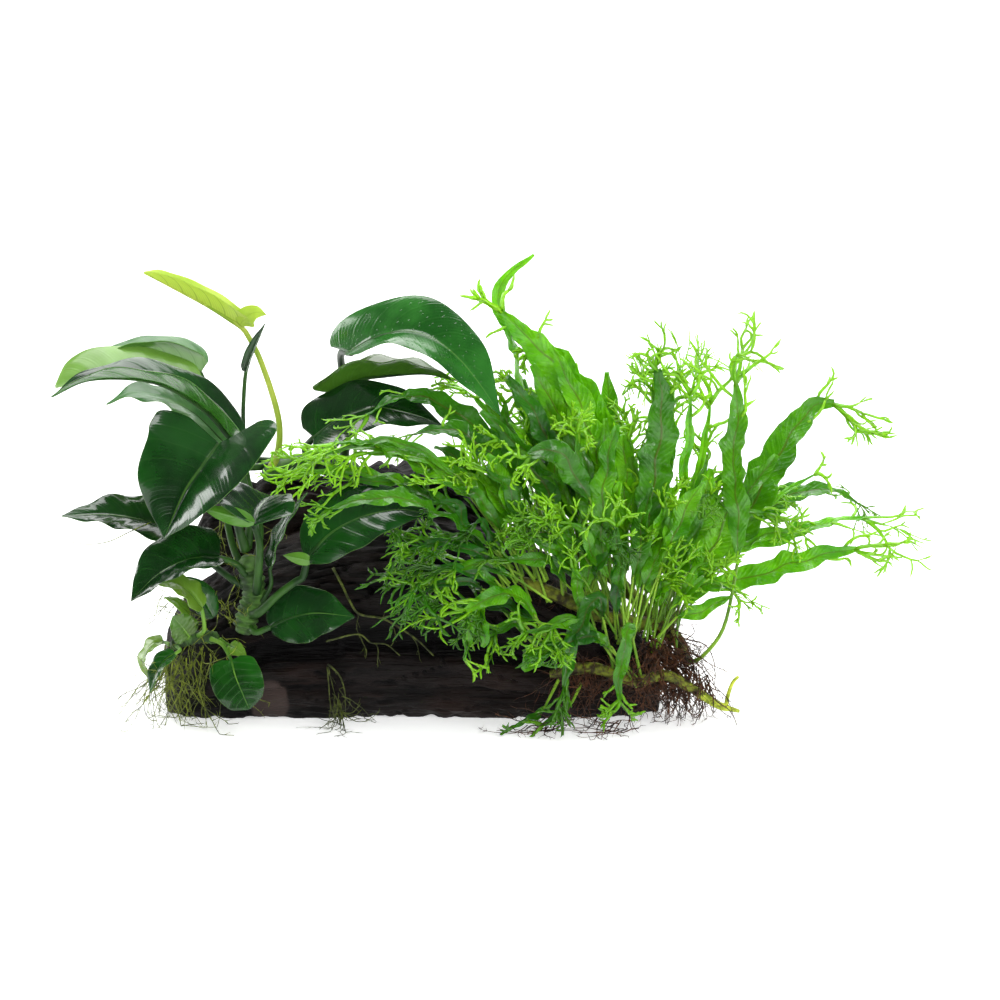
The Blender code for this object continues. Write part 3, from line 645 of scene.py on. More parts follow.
# Each leaf: name, kind, creeping stem, where its stalk leaves that (0 to 1), the points of its stalk, the
# points of its midrib, half width, facing, and what else its shape takes. Two values in one place are for
# its two sides. An extra blade is given by its points, half width, facing and tone.
LEAVES = (
    ("new_rolled", "new", "back", 0.04, ((-66, 0, 116), (-66, 2, 132), (-74, 6, 157)),
     ((-82, 8, 172), (-97, 5, 182), (-113, 2, 191), (-126, 0, 198)),
     7.5, (0.5, -0.1, 0.85), dict(fold=62, lobe=(8, 4), stalk=1.5, wave=0.2, quilt=0.12, blunt=0.9,
     extra=(((-83, 7, 173), (-80, 5, 177), (-76, 4, 179), (-71, 4, 178)), 4.6, (0.2, -0.9, 0.3), 0))),
    ("spear", "old", "main", 0.9, ((-73, -42, 90), (-79, -32, 112), (-81, -27, 136)),
     ((-80, -26, 158), (-77, -26, 167), (-71, -26, 180)),
     3, (-0.5, -0.8, 0.3), dict(fold=40, stalk=1.1, wave=0.2, quilt=0.1)),
    ("far_left", "pale", "back", 0.27, ((-86, 14, 112), (-97, 20, 128)),
     ((-101, 23, 148), (-115, 24, 152), (-133, 24, 152), (-150, 23, 149)),
     18, (0, 0.1, 1), dict(fold=40, lobe=3, phase=0.2, blunt=0.8, wave=0.3)),
    ("yellow_left", "pale", "back", 0.14, ((-86, 4, 109), (-98, 0, 124)),
     ((-103, 0, 143), (-124, 1, 149), (-148, 2, 151), (-166, 2, 145)),
     19, (0, -0.25, 1), dict(fold=24, lobe=3, phase=0.6, tone=0.4, blunt=1.0, wave=0.3)),
    ("long_gutter", "old", "main", 1, ((-78, -47, 100),),
     ((-85, -45, 131), (-98, -44, 145), (-120, -44, 157), (-148, -44, 158), (-166, -44, 150)),
     (19, 15), (0, -0.05, 1), dict(fold=34, lobe=4, stalk=1.8, phase=0.1)),
    ("under_gutter", "shaded", "main", 0.72, ((-86, -44, 84), (-90, -36, 106)),
     ((-89, -32, 126), (-102, -30, 139), (-117, -30, 147), (-130, -30, 149), (-142, -31, 144)),
     13, (0, -0.25, 1), dict(fold=10, lobe=3, phase=0.45, wave=1.6)),
    ("front_heart", "old", "main", 1, ((-84, -57, 99),),
     ((-91, -62, 133), (-98, -69, 124), (-106, -74, 113), (-115, -79, 93)),
     (28, 28), (-0.43, -0.87, 0.25), dict(fold=28, lobe=(25, 3), shoulder=(1.35, 1.28), stalk=2, quilt=0.26,
     veins=6, wave=0.7)),
    ("left_point", "old", "main", 0.62, ((-87, -49, 69), (-100, -42, 78)),
     ((-110, -38, 86), (-124, -38, 92), (-140, -38, 95), (-162, -40, 95)),
     14, (0, -0.45, 0.9), dict(fold=16, lobe=3, quilt=0.3, wave=1.2)),
    ("front_low", "old", "main", 0.8, ((-84, -57, 77),),
     ((-91, -63, 81), (-104, -66, 81), (-118, -71, 75), (-130, -76, 64)),
     (18, 16), (-0.1, -0.53, 0.85), dict(fold=30, lobe=2, quilt=0.35)),
    ("pale_small", "small", "small", 0.6, ((-98, -60, 48),),
     ((-99, -62, 58), (-105, -64, 66), (-112, -65, 70), (-121, -65, 70)),
     7.5, (0.3, -0.5, 0.8), dict(fold=12, stalk=1, tone=0.3, quilt=0.1, extra=(((-94, -54, 52),
     (-99, -55, 61), (-105, -55, 67), (-111, -55, 70)), 7, (0.5, -0.8, 0.3), 0))),
    ("base_v", "old", "main", 0.55, ((-74, -58, 72), (-73, -68, 88)),
     ((-75, -82, 100), (-74, -75, 104), (-71, -67, 107), (-68, -59, 108)),
     20, (0.1, -0.1, 1), dict(fold=30, lobe=3, stalk=1.8, extra=(((-75, -82, 101), (-83, -83.5, 104),
     (-91, -83, 106), (-99, -81, 108)), 4.2, (0.1, 0.95, -0.3), 0.1))),
    ("brown_edge", "old", "main", 0.42, ((-68.5, -53, 66),),
     ((-69, -53.5, 74), (-66, -54, 86), (-60, -55, 98), (-52, -55, 109)),
     6, (-0.9, -0.3, 0.2), dict(fold=12, stalk=1.1, quilt=0.1)),
    ("over_log", "old", "main", 0.28, ((-73, -56, 55), (-65, -57, 63), (-57, -57, 69), (-54, -57, 71)),
     ((-52, -57, 80), (-41, -56, 91), (-27, -55, 98), (-11, -55, 101), (4, -55, 99)),
     (18, 15), (-0.1, -0.76, 0.62), dict(fold=6, lobe=(0, 2), shoulder=(0.45, 0.55), stalk=1.9, wave=0.8,
     quilt=0.26, extra=(((-50, -58, 78), (-54, -59, 79.5), (-59, -59, 80.5), (-63, -58, 81)), 3,
     (0.1, 0.95, -0.3), 0.15))),
    ("low_dark", "old", "main", 0.1, ((-75, -54, 45),),
     ((-69, -53, 47), (-60, -52, 51), (-48, -51, 53), (-31, -50, 51)),
     14, (0, -0.88, 0.47), dict(fold=8, shoulder=0.6, quilt=0.25, veins=6)),
    ("round", "small", "small", 0.8, ((-90, -57, 40),),
     ((-86, -62, 34), (-84, -65, 27), (-81, -67, 20), (-78, -68, 13)),
     11.5, (0, -0.93, 0.37), dict(fold=4, lobe=2, stalk=1, quilt=0.1, wave=0.3, blunt=1.0)),
    ("tiny_right", "small", "small", 0.97, (),
     ((-87, -54, 39), (-84, -57, 38), (-79, -60, 35)),
     3.5, (0, -0.8, 0.6), dict(fold=8, stalk=0.9, tone=0.3)),
    ("low_left", "small", "small", 0.15, ((-109, -59, 38),),
     ((-111, -62, 37), (-116, -63, 34), (-120, -64, 28), (-122, -65, 20)),
     4.5, (-0.5, -0.7, 0.5), dict(fold=25, stalk=0.9)),
    ("low_left_pale", "small", "small", 0.03, (),
     ((-117, -42, 38), (-122, -41, 36), (-126, -40, 29), (-124, -40, 21)),
     5.5, (-0.6, -0.3, 0.7), dict(fold=15, stalk=0.9, tone=0.4)),
    ("small_bright", "small", "small", 0.4, (),
     ((-105, -57, 44), (-108, -60, 49), (-112, -62, 54)),
     7, (0, -0.9, 0.4), dict(fold=12, stalk=1, tone=0.14, blunt=0.6, extra=(((-105, -52, 53),
     (-110, -53, 58), (-116, -54, 61)), 4, (0, -0.4, 0.9), 0.5))),
    ("top_large", "wet", "back", 0.78, ((-36, 48, 118), (-37, 36, 140), (-38, 24, 156)),
     ((-34, 8, 160), (-22, 2, 168), (-8, -4, 172), (5, -10, 169), (16, -16, 161), (25, -23, 151),
      (31, -29, 143), (34, -32, 139)),
     (18, 19), (0, -0.56, 0.83), dict(fold=26, lobe=(16, 2), shoulder=(0.85, 0.35), stalk=2, quilt=0.12,
     veins=9)),
    ("top_middle", "old", "back", 0.58, ((-46, 24, 120),),
     ((-42, 14, 140), (-30, 12, 147), (-18, 11, 149), (0, 10, 150), (13, 10, 147)),
     15, (0, 0.1, 1), dict(fold=36, lobe=(3, 10), stalk=1.7, veins=9, quilt=0.2, tone=0.12)),
    ("top_dark", "old", "back", 0.36, ((-54, 6, 116),),
     ((-50, -2, 123), (-38, -3, 132), (-22, -4, 137), (-5, -5, 134), (8, -6, 129)),
     16, (0, -0.6, 0.8), dict(fold=14, lobe=4, stalk=1.7, quilt=0.2)),
)


def sprout(name, share, towards, stalk):
    """Where a stalk starts: just inside the skin of its creeping stem."""
    radius, knots = RHIZOMES[name]
    before, centre, after = curve_at(knots, [max(share - 0.02, 0), share, min(share + 0.02, 1)])
    travel = unit(after - before)
    way = np.array(towards, float) - centre
    if 0.03 < share < 0.97:
        way -= travel * (way @ travel)
    return centre + max(radius - stalk, 0) * unit(way)


def pair(value):
    return value if isinstance(value, tuple) else (value, value)


def by_side(across, values):
    """The first value where across is negative, and the second one elsewhere."""
    return np.where(across > 0, values[1], values[0])


def around(spread):
    """Places across a sheet, out along its upper face and back along its lower one, and which is upper."""
    across = np.concatenate([spread, spread[-2:0:-1]])[None, :]
    upper = np.concatenate([np.ones(len(spread)), np.zeros(len(spread) - 2)])[None, :]
    return across, upper


def blade_lift(s, across, upper, width, look):
    """How far a blade's corners stand off its plane: waves, quilting, the groove and the thickness."""
    edges = np.abs(across)
    phase = look.get("phase", 0.0)
    wave = look.get("wave", 0.9) * edges**3 * np.sin(2 * math.pi * (WAVES * s + phase)
                                                   + np.where(across > 0, 1.9, 0))
    arched = s - 0.2 * edges**1.3
    sway = 0.35 * np.sin(2 * math.pi * (1.7 * s + phase) + np.where(across > 0, 1.1, 0))
    quilt = 0.6 * look.get("quilt", 0.28) * (np.cos(2 * math.pi * look.get("veins", 7) * arched) + sway)
    quilt = quilt * np.clip(edges * 6, 0, 1) * (1 - edges**4) * np.sin(math.pi * np.clip(s, 0, 1)) ** 0.4
    groove = -0.7 * np.exp(-((across / 0.05) ** 2)) * (1 - s)
    thick = (0.35 + 0.55 * (1 - edges**2)) * np.where(upper > 0, 0.5, -0.5)
    return wave * np.minimum(1, width / 8), quilt * np.minimum(1, width / 10), groove, thick


def blade(shape, midrib, half_width, facing, fold, lobe, shoulder, look):
    """A folded Anubias blade with rounded base lobes, quilted between its veins and wavy at its edge."""
    shares = np.linspace(0, 1, LEAF_ROWS) ** 1.25
    line = curve_at(midrib, shares)
    travel, side, normal = frames(line, facing)
    quarter = math.pi / 2 * 0.98
    across, upper = around(np.sin(np.linspace(-1, 1, LEAF_COLUMNS) * quarter) / math.sin(quarter))
    s = shares[:, None]
    narrowing = np.clip(1 - s / LOBE_REACH, 0, 1)
    blunt = look.get("blunt", 0.0)
    profile = np.array(LEAF_WIDTHS) * (1 - blunt) + np.array(BLUNT_WIDTHS) * blunt
    width = by_side(across, pair(half_width)) * smooth_read(LEAF_STATIONS, profile, s)
    width = width * (1 - (1 - by_side(across, pair(shoulder))) * narrowing**1.5)
    reach = np.abs(across) * np.sqrt(1 - 0.6 * np.clip(1 - s / 0.12, 0, 1) ** 2)
    back = by_side(across, pair(lobe)) * narrowing**2 * reach**LOBE_SWEEP
    bend = math.radians(fold)
    rise = math.sin(bend) * (reach * 1.18 - 0.18 * reach**3) - 0.05 * reach**6
    flat = math.cos(bend) * reach
    wave, quilt, groove, thick = blade_lift(s, across, upper, width, look)
    lift = width * rise + wave + quilt + groove + thick
    points = (line[:, None] + side[:, None] * (np.sign(across) * width * flat)[:, :, None]
              + normal[:, None] * lift[:, :, None] - travel[:, None] * back[:, :, None])
    shape.skin(points, marked(points, s, across, upper, look.get("tone", 0.0)))
    return line, normal


def leaf(name, materials, slot, stem, at, petiole, midrib, half_width, facing, fold=20, lobe=0,
         shoulder=0.95, stalk=1.6, extra=None, **look):
    """A whole leaf: its blade, and a stalk that runs on under it as the midrib."""
    shape = Shape()
    line, normal = blade(shape, midrib, half_width, facing, fold, lobe, shoulder, look)
    if extra:
        points, half, way, tone = extra
        blade(shape, points, half, way, 6, 0, 0.6, {"wave": 0.3, "quilt": 0.1, "tone": tone})
    shares = np.linspace(0, 1, STALK_ROWS)
    start = sprout("anubias_rhizome_" + stem, at, petiole[0] if petiole else midrib[0], stalk)
    up = curve_at([start, *petiole, midrib[0]], shares)
    low = stalk * np.interp(shares, (0, 0.25, 0.9, 1), (1.25, 1.0, 0.85, 0.8))
    ribs = np.linspace(0.8 * stalk, 0.2, len(line))
    under = line - normal * (ribs * np.linspace(0.55, 0.9, len(line)))[:, None]
    tube(shape, np.vstack([up[:-1], under[1:-3]]), np.concatenate([low[:-1], ribs[1:-3]]), 10, kind=1)
    shape.make("leaf_" + name, materials, "anubias_leaf_" + name)


def anubias_looks():
    """For each kind of leaf: the materials of its blade and its stalk, and its material slot."""
    dark = leaf_material("anubias_blade_dark", rgb(6, 36, 8), rgb(18, 62, 16), rgb(46, 98, 26), 7)
    dewy = leaf_material("anubias_blade_dewy", rgb(20, 72, 18), rgb(42, 104, 34), rgb(58, 110, 34), 9,
                         dew=2.2)
    pale = leaf_material("anubias_blade_pale", rgb(52, 108, 48), rgb(96, 146, 78), rgb(112, 158, 80), 8,
                         gloss=0.3, sheer=0.3)
    young = leaf_material("anubias_blade_new", rgb(176, 204, 70), rgb(208, 226, 112), rgb(194, 216, 86), 7,
                          gloss=0.3, sheer=0.35, vein_share=0.1)
    small = leaf_material("anubias_blade_small", rgb(5, 42, 1), rgb(16, 76, 3), rgb(96, 150, 44), 7,
                          gloss=0.2, vein_share=0.04)
    stalk = stalk_material("anubias_stalk", rgb(14, 42, 10), rgb(40, 76, 20))
    stalk_fresh = stalk_material("anubias_stalk_fresh", rgb(112, 140, 36), rgb(156, 170, 66))
    stalk_small = stalk_material("anubias_stalk_small", rgb(40, 82, 14), rgb(92, 132, 40))
    return {
        "old": ([dark, stalk], "anubias_dark"),
        "wet": ([dewy, stalk], "anubias_dark"),
        "shaded": ([pale, stalk], "anubias_dark"),
        "pale": ([pale, stalk], "anubias_fresh"),
        "new": ([young, stalk_fresh], "anubias_fresh"),
        "small": ([small, stalk_small], "anubias_fresh"),
    }


def anubias_leaves():
    looks = anubias_looks()
    for name, kind, *values, look in LEAVES:
        leaf(name, *looks[kind], *values, **look)


# Java fern fronds


# Each frond: name, creeping stem, where its stalk leaves that (0 to 1), the points of its stalk, the points
# of its blade, the tip of its crest, half width, spread of the crest, facing, tone, seed, and what else.
FRONDS = (
    ("tall", "top", 0.5, ((84, -28, 90),),
     ((79, -20, 129), (72, -17, 141), (58, -14, 159), (42, -12, 175), (34, -12, 183)),
     (19, -12, 203), 9, 6, (-0.6, -0.65, 0.4), 0.85, 11, dict(twist=0.2, ruffle=1.3, branches=4, depth=1)),
    ("tall_behind", "back", 0.3, ((64, 8, 100),),
     ((62, 4, 120), (59, 2, 134), (54, 1, 150), (48, 2, 161)),
     (40, 2, 170), 7, 7, (-0.6, -0.6, 0.5), 0.7, 12, {}),
    ("dark_left", "top", 0.22, ((62, -28, 88),),
     ((56, -22, 120), (50, -19, 134), (43, -17, 145), (37, -16, 152)),
     (30, -14, 158), 6, 6, (-0.6, -0.6, 0.5), 0.15, 13, {}),
    ("tongue", "back", 0.12, ((48, 12, 110),),
     ((44, 12, 140), (40, 11, 164), (34, 9, 180), (33, 8, 189), (39, 8, 197), (44, 7, 201), (49, 6, 205)),
     (50, 6, 206), 3.6, 3, (-0.5, -0.8, 0.2), 1.0, 14, dict(branches=0, ruffle=1.0, twist=0.7)),
    ("arch_high", "top", 0.12, ((50, -33, 94),),
     ((36, -27, 117), (22, -23, 132), (8, -21, 142), (-10, -22, 146), (-26, -26, 138)),
     (-44, -33, 128), 5.5, 9, (0, -0.5, 0.85), 0.1, 15, {}),
    ("arch_mid", "top", 0.07, ((48, -40, 88),),
     ((36, -38, 112), (24, -37, 128), (10, -37, 134), (-6, -35, 131)),
     (-24, -34, 118), 5, 9, (0, -0.5, 0.85), 0.15, 16, {}),
    ("arch_left", "top", 0.03, ((40, -46, 84),),
     ((25, -45, 106), (8, -44, 116), (-8, -44, 122), (-24, -45, 129), (-40, -48, 130)),
     (-66, -54, 120), 5.5, 13, (0, -0.5, 0.85), 0.55, 17, dict(branches=4)),
    ("over_leaf", "top", 0.0, ((34, -50, 80),),
     ((20, -58, 92), (2, -62, 103), (-12, -66, 109), (-28, -67, 108), (-42, -68, 104)),
     (-57, -70, 100), 4.5, 7, (0, -0.5, 0.85), 0.3, 18, {}),
    ("low_left", "front", 0.04, ((50, -56, 52),),
     ((40, -59, 64), (30, -61, 62), (18, -63, 57)),
     (-12, -65, 49), 4.5, 11, (0, -0.7, 0.7), 0.6, 19, {}),
    ("front_droop", "front", 0.3, ((80, -54, 50),),
     ((78, -60, 62), (71, -64, 54), (65, -68, 40), (62, -72, 24)),
     (63, -75, 3), 4, 8, (-0.1, -0.9, 0.3), 0.1, 20, dict(sink=0.0, ruffle=2)),
    ("front_droop_right", "front", 0.45, ((93, -54, 42),),
     ((92, -60, 49), (89, -64, 40), (87, -67, 28), (87, -70, 17)),
     (85, -73, 3), 3.2, 7, (0.1, -0.9, 0.3), 0.4, 21, dict(sink=0.0)),
    ("right_low", "top", 0.82, ((116, -31, 52),),
     ((124, -31, 60), (132, -32, 62), (139, -33, 59)),
     (155, -35, 50), 4, 8, (0, -0.6, 0.8), 0.8, 22, {}),
    ("right_mid", "top", 0.8, ((118, -16, 58),),
     ((130, -14, 58), (146, -13, 61), (162, -12, 66), (178, -12, 71), (194, -12, 74)),
     (218, -14, 66), 5.6, 11, (-0.1, -0.9, 0.45), 0.8, 23, dict(ruffle=1.0, twist=0.15)),
    ("right_thin", "back", 0.85, ((120, 2, 66),),
     ((136, 4, 70), (148, 6, 73), (166, 7, 77), (182, 8, 82), (198, 8, 84)),
     (234, 8, 80), 3.5, 10, (-0.1, -0.8, 0.6), 0.9, 24, {}),
    ("right_arch", "back", 0.73, ((116, 14, 70),),
     ((134, 17, 72), (150, 18, 83), (166, 20, 92), (183, 22, 94), (195, 22, 88)),
     (207, 22, 76), 5, 10, (0, -0.6, 0.8), 0.3, 25, {}),
    ("right_high", "top", 0.72, ((122, -4, 66),),
     ((142, -3, 82), (149, -2, 96), (158, 0, 113), (166, 0, 126), (175, 1, 137), (184, 1, 138)),
     (213, 1, 126), 8.5, 12, (-0.35, -0.9, 0.3), 0.35, 26, dict(ruffle=1.0, twist=0.1)),
    ("right_tall", "top", 0.98, ((124, -34, 29), (134, -38, 44), (140, -37, 74)),
     ((140, -33, 98), (138, -29, 118), (140, -26, 138), (139, -24, 152)),
     (138, -20, 188), 6, 12, (-0.2, -0.9, 0.2), 0.4, 27, dict(branches=4, stalk=0.9)),
    ("centre_tall", "top", 0.62, ((99, -36, 80),),
     ((102, -36, 108), (105, -34, 128), (106, -32, 146), (104, -31, 160)),
     (90, -29, 176), 7.5, 6, (0.1, -0.95, 0.2), 0.2, 28, dict(branches=3, twist=0.25)),
    ("twisted", "top", 0.35, ((78, -44, 76),),
     ((76, -46, 98), (69, -48, 112), (58, -50, 124), (46, -51, 125)),
     (34, -52, 113), 6, 6, (-0.2, -0.7, 0.6), 0.3, 29, dict(ruffle=2.2)),
)


# The short fronds that fill the clump. Each row: how many, middle of where they root and how far
# they spread there, middle of where their tips are and how far those spread, half width of the
# blades, length of the crests, tone. Crests under 10 long are left out.
SPRAYS = {
    "left": (
        (5, (44, -42, 68), (8, 4, 6), (-36, -44, 118), (18, 8, 10), 2.8, 22, 0.55),
        (5, (46, -46, 60), (10, 4, 10), (10, -56, 94), (14, 6, 10), 2.8, 22, 0.15),
        (7, (52, -48, 50), (12, 3, 12), (10, -60, 74), (12, 6, 11), 2.6, 26, 0.12),
        (4, (54, -50, 40), (10, 3, 8), (24, -62, 52), (10, 5, 7), 2.4, 22, 0.15),
        (4, (50, -44, 62), (10, 4, 8), (12, -50, 116), (18, 8, 12), 3.2, 18, 0.2),
        (5, (52, -38, 66), (10, 4, 8), (18, -42, 122), (18, 8, 12), 4.8, 8, 0.25),
    ),
    "centre": (
        (7, (72, -44, 44), (16, 4, 12), (48, -58, 84), (18, 8, 16), 3.0, 18, 0.3),
        (5, (82, -44, 40), (16, 4, 12), (84, -56, 88), (20, 8, 16), 3.2, 18, 0.35),
        (4, (84, -44, 42), (14, 4, 8), (92, -48, 104), (18, 8, 12), 5.0, 8, 0.5),
        (4, (80, -46, 26), (18, 3, 8), (66, -68, 40), (24, 5, 14), 2.8, 18, 0.4),
        (4, (86, -40, 42), (16, 6, 8), (90, -30, 132), (34, 12, 14), 2.6, 16, 0.6),
        (6, (84, -34, 46), (14, 6, 8), (74, -24, 132), (24, 8, 14), 5.2, 8, 0.55),
        (3, (74, -34, 50), (18, 4, 8), (44, -30, 124), (20, 10, 14), 3.0, 16, 0.35),
        (4, (72, -32, 52), (12, 4, 8), (42, -26, 134), (16, 8, 12), 5.0, 8, 0.4),
        (9, (98, -34, 34), (12, 8, 6), (106, -38, 90), (26, 12, 16), 2.4, 14, 0.4),
        (4, (100, -34, 36), (10, 6, 6), (114, -32, 100), (14, 8, 12), 5.0, 8, 0.65),
    ),
    "behind": (
        (4, (70, 12, 64), (18, 4, 8), (60, 16, 130), (22, 12, 16), 4.2, 18, 0.45),
        (4, (72, 12, 62), (16, 4, 8), (64, 14, 136), (20, 10, 14), 5.4, 8, 0.6),
        (5, (86, 12, 54), (14, 4, 8), (94, 22, 118), (20, 14, 16), 4.2, 18, 0.5),
        (8, (74, 16, 58), (22, 4, 10), (70, 46, 84), (34, 6, 22), 3.6, 18, 0.4),
        (3, (52, 8, 76), (8, 4, 5), (26, 4, 144), (12, 8, 12), 3.2, 18, 0.7),
    ),
    "right": (
        (3, (106, -14, 40), (8, 8, 8), (122, -16, 110), (14, 12, 18), 4.0, 18, 0.55),
        (4, (106, -16, 42), (6, 6, 6), (132, -18, 104), (10, 8, 10), 5.6, 8, 0.75),
        (5, (110, -8, 36), (6, 8, 8), (152, 0, 88), (14, 12, 12), 3.2, 18, 0.5),
        (5, (104, -30, 36), (6, 5, 8), (120, -44, 64), (12, 6, 12), 2.8, 18, 0.5),
        (6, (108, -24, 34), (5, 6, 6), (122, -22, 138), (24, 10, 18), 2.2, 28, 0.9),
    ),
}

# Short fronds with a place of their own: where each roots, its path, its tip, half width, facing, tone.
SHORT_FRONDS = (
    ((64, -48, 26), ((63, -58, 40), (56, -62, 39), (49, -64, 35)), (44, -65, 30), 5.5, (0, -0.7, 0.7), 0.75),
    ((30, -46, 62), ((26, -56, 64), (25, -61, 54), (27, -62, 44)), (26, -62, 40), 4, (-0.4, -0.8, 0.3), 0.7),
    ((34, -48, 58), ((24, -60, 58), (19, -62, 42), (18, -63, 34)), (26, -63, 22), 2.6,
     (-0.6, -0.7, 0.2), 0.8),
    ((80, -44, 80), ((74, -50, 104), (63, -55, 124), (54, -57, 129)), (46, -58, 127), 5.5,
     (-0.1, -0.9, 0.4), 0.2),
    ((104, -44, 40), ((112, -48, 50), (124, -49, 54), (132, -49, 58)), (137, -48, 60), 3.5,
     (0.1, -0.7, 0.6), 0.7),
    ((82, -38, 46), ((80, -32, 86), (78, -28, 114), (72, -25, 136), (64, -22, 154)), (57, -20, 168), 6.4,
     (-0.3, -0.9, 0.3), 0.85),
    ((80, -36, 48), ((79, -30, 84), (74, -26, 112), (66, -24, 128), (57, -22, 143)), (48, -20, 160), 6.6,
     (-0.4, -0.85, 0.35), 0.65),
    ((74, -38, 50), ((71, -36, 84), (67, -34, 107), (58, -33, 124), (48, -32, 142)), (37, -30, 157), 5,
     (-0.4, -0.85, 0.35), 0.05),
    ((80, -44, 44), ((80, -45, 70), (79, -48, 92), (80, -49, 108), (82, -48, 124)), (86, -46, 138), 5.4,
     (0, -0.97, 0.2), 0.5),
    ((62, -40, 56), ((60, -40, 78), (58, -40, 97), (50, -39, 115), (38, -38, 131)), (25, -36, 142), 5.2,
     (-0.4, -0.85, 0.35), 0.1),
    ((106, -26, 40), ((116, -26, 56), (125, -25, 70), (133, -24, 86)), (141, -23, 106), 6.6,
     (-0.3, -0.9, 0.3), 0.9),
    ((104, -28, 42), ((111, -30, 60), (118, -30, 78), (124, -29, 94)), (128, -27, 114), 6,
     (-0.2, -0.95, 0.2), 0.75),
    ((110, -4, 36), ((130, 0, 62), (146, 2, 84), (164, 3, 98), (176, 4, 105)), (190, 4, 118), 2,
     (0, -0.7, 0.6), 0.95),
    ((60, -48, 22), ((54, -57, 12), (48, -61, 7), (40, -64, 4)), (28, -67, 3), 2.2, (0, -0.5, 0.85), 0.1),
    ((70, -48, 20), ((66, -58, 14), (60, -63, 9), (52, -67, 5)), (40, -71, 3), 2.2, (0, -0.5, 0.85), 0.3),
    ((108, -12, 40), ((120, -12, 62), (133, -10, 82), (146, -8, 100)), (158, -6, 116), 6,
     (-0.4, -0.85, 0.3), 0.45),
)


def lobe_line(rng, start, heading, flat, length, sink):
    """The middle line of a narrow lobe that wanders in its own plane and sinks a little."""
    points, ahead, bend = [start], heading, rng.normal(0, 0.15)
    for _ in range(LOBE_STEPS):
        bend = 0.6 * bend + rng.normal(0, 0.2)
        down = np.array((0, 0, -sink / LOBE_STEPS))
        ahead = unit(turned(ahead, flat, bend) + down + 0.07 * rng.normal(size=3))
        point = points[-1] + ahead * length / LOBE_STEPS
        points.append(np.array((point[0], point[1], max(point[2], LOBE_FLOOR))))
    return np.array(points), ahead


def antler(shape, rng, start, heading, flat, length, width, depth, tone, sink=0.1):
    """A forked crest lobe: narrower lobes leave its sides in turn, and its end divides in two."""
    points, ahead = lobe_line(rng, start, heading, flat, length, sink)
    shares = np.linspace(0, 1, LOBE_STEPS + 1)
    widths = width * np.interp(shares, (0, 0.25, 0.75, 1), (0.8, 1, 0.85, 0.75 if depth else 0.1))
    first = 1.4 - 0.2 * depth
    strip(shape, points, widths, flat, 0.5, tone, rng.normal(0, 0.7), first, first + 0.2)
    if depth == 0:
        return
    turn = rng.choice((-1, 1))
    for k in (2, 3) if depth > 1 else (3,):
        if rng.random() < 0.75:
            way = turned(unit(points[k] - points[k - 1]), flat, turn * rng.uniform(0.4, 0.75))
            antler(shape, rng, points[k], unit(way + 0.2 * rng.normal() * flat), flat,
                   length * rng.uniform(0.45, 0.75), width * 0.62, depth - 1, tone, sink)
        turn = -turn
    for turn, share in ((1, rng.uniform(0.55, 0.8)), (-1, rng.uniform(0.4, 0.65))):
        way = turned(ahead, flat, turn * rng.uniform(0.15, 0.4))
        antler(shape, rng, points[-1], unit(way + 0.15 * rng.normal() * flat), flat, length * share,
               width * 0.72, depth - 1, tone, sink)


def crest(shape, rng, start, ahead, normal, length, spread, width, tone, branches=3, depth=2, sink=0.1):
    """The fan of forked lobes at a frond's tip."""
    open_angle = min(1.0, math.atan2(spread, length) * 1.1)
    for k in range(branches):
        angle = open_angle * (2 * k / max(branches - 1, 1) - 1) + rng.normal(0, 0.1)
        way = unit(turned(ahead, normal, angle) + 0.25 * rng.normal() * normal)
        tilted = unit(normal + 0.5 * rng.normal(size=3))
        flat = unit(tilted - way * (tilted @ way))
        antler(shape, rng, start, way, flat, length * rng.uniform(0.43, 0.56), width, depth, tone, sink)


def frond_blade(shape, rng, line, half_width, facing, tone, ruffle, twist):
    """A strap blade: its edges ruffled and shallowly lobed, its midrib sunk, the whole of it twisting."""
    travel, side, normal = frames(line, facing)
    s = np.linspace(0, 1, len(line))[:, None]
    turn = twist * np.sin(2.2 * math.pi * s + rng.uniform(0, 6))
    side, normal = rolled(side, normal, turn)
    across, upper = around(np.array(FROND_COLUMNS))
    edges = np.abs(across)
    turns = 2 * math.pi * np.linalg.norm(np.diff(line, axis=0), axis=1).sum() * s
    seed = rng.uniform(0, 6)
    other = np.where(across > 0, 2.3, 0)
    lobes = 1 + 0.09 * np.sin(turns / 17 + seed + other) + 0.05 * np.sin(turns / 9.3 + 2 * seed + 2 * other)
    width = half_width * smooth_read(FROND_STATIONS, FROND_WIDTHS, s) * lobes
    wave = np.sin(turns / 13 + seed + other) + 0.5 * np.sin(turns / 7.1 + 3 * seed + other)
    lift = ruffle * wave * edges**2 * np.minimum(1, width / 5)
    lift = lift + 0.2 * width * edges - 0.25 * (edges < 0.2) * upper
    thick = np.where(upper > 0, 0.22, -0.22) * (1 - 0.4 * edges)
    thick = thick - np.where((edges < 0.2) & (upper < 1), 0.3, 0)
    wobble = side * np.sin(turns / 21 + seed) * 0.7 + normal * np.sin(turns / 16 + 2 * seed) * 0.9
    points = ((line + wobble * np.sin(math.pi * s))[:, None] + side[:, None] * (across * width)[:, :, None]
              + normal[:, None] * (lift + thick)[:, :, None])
    shape.skin(points, marked(points, s * 0.8, across, upper, tone))
    return travel[-1], side, normal


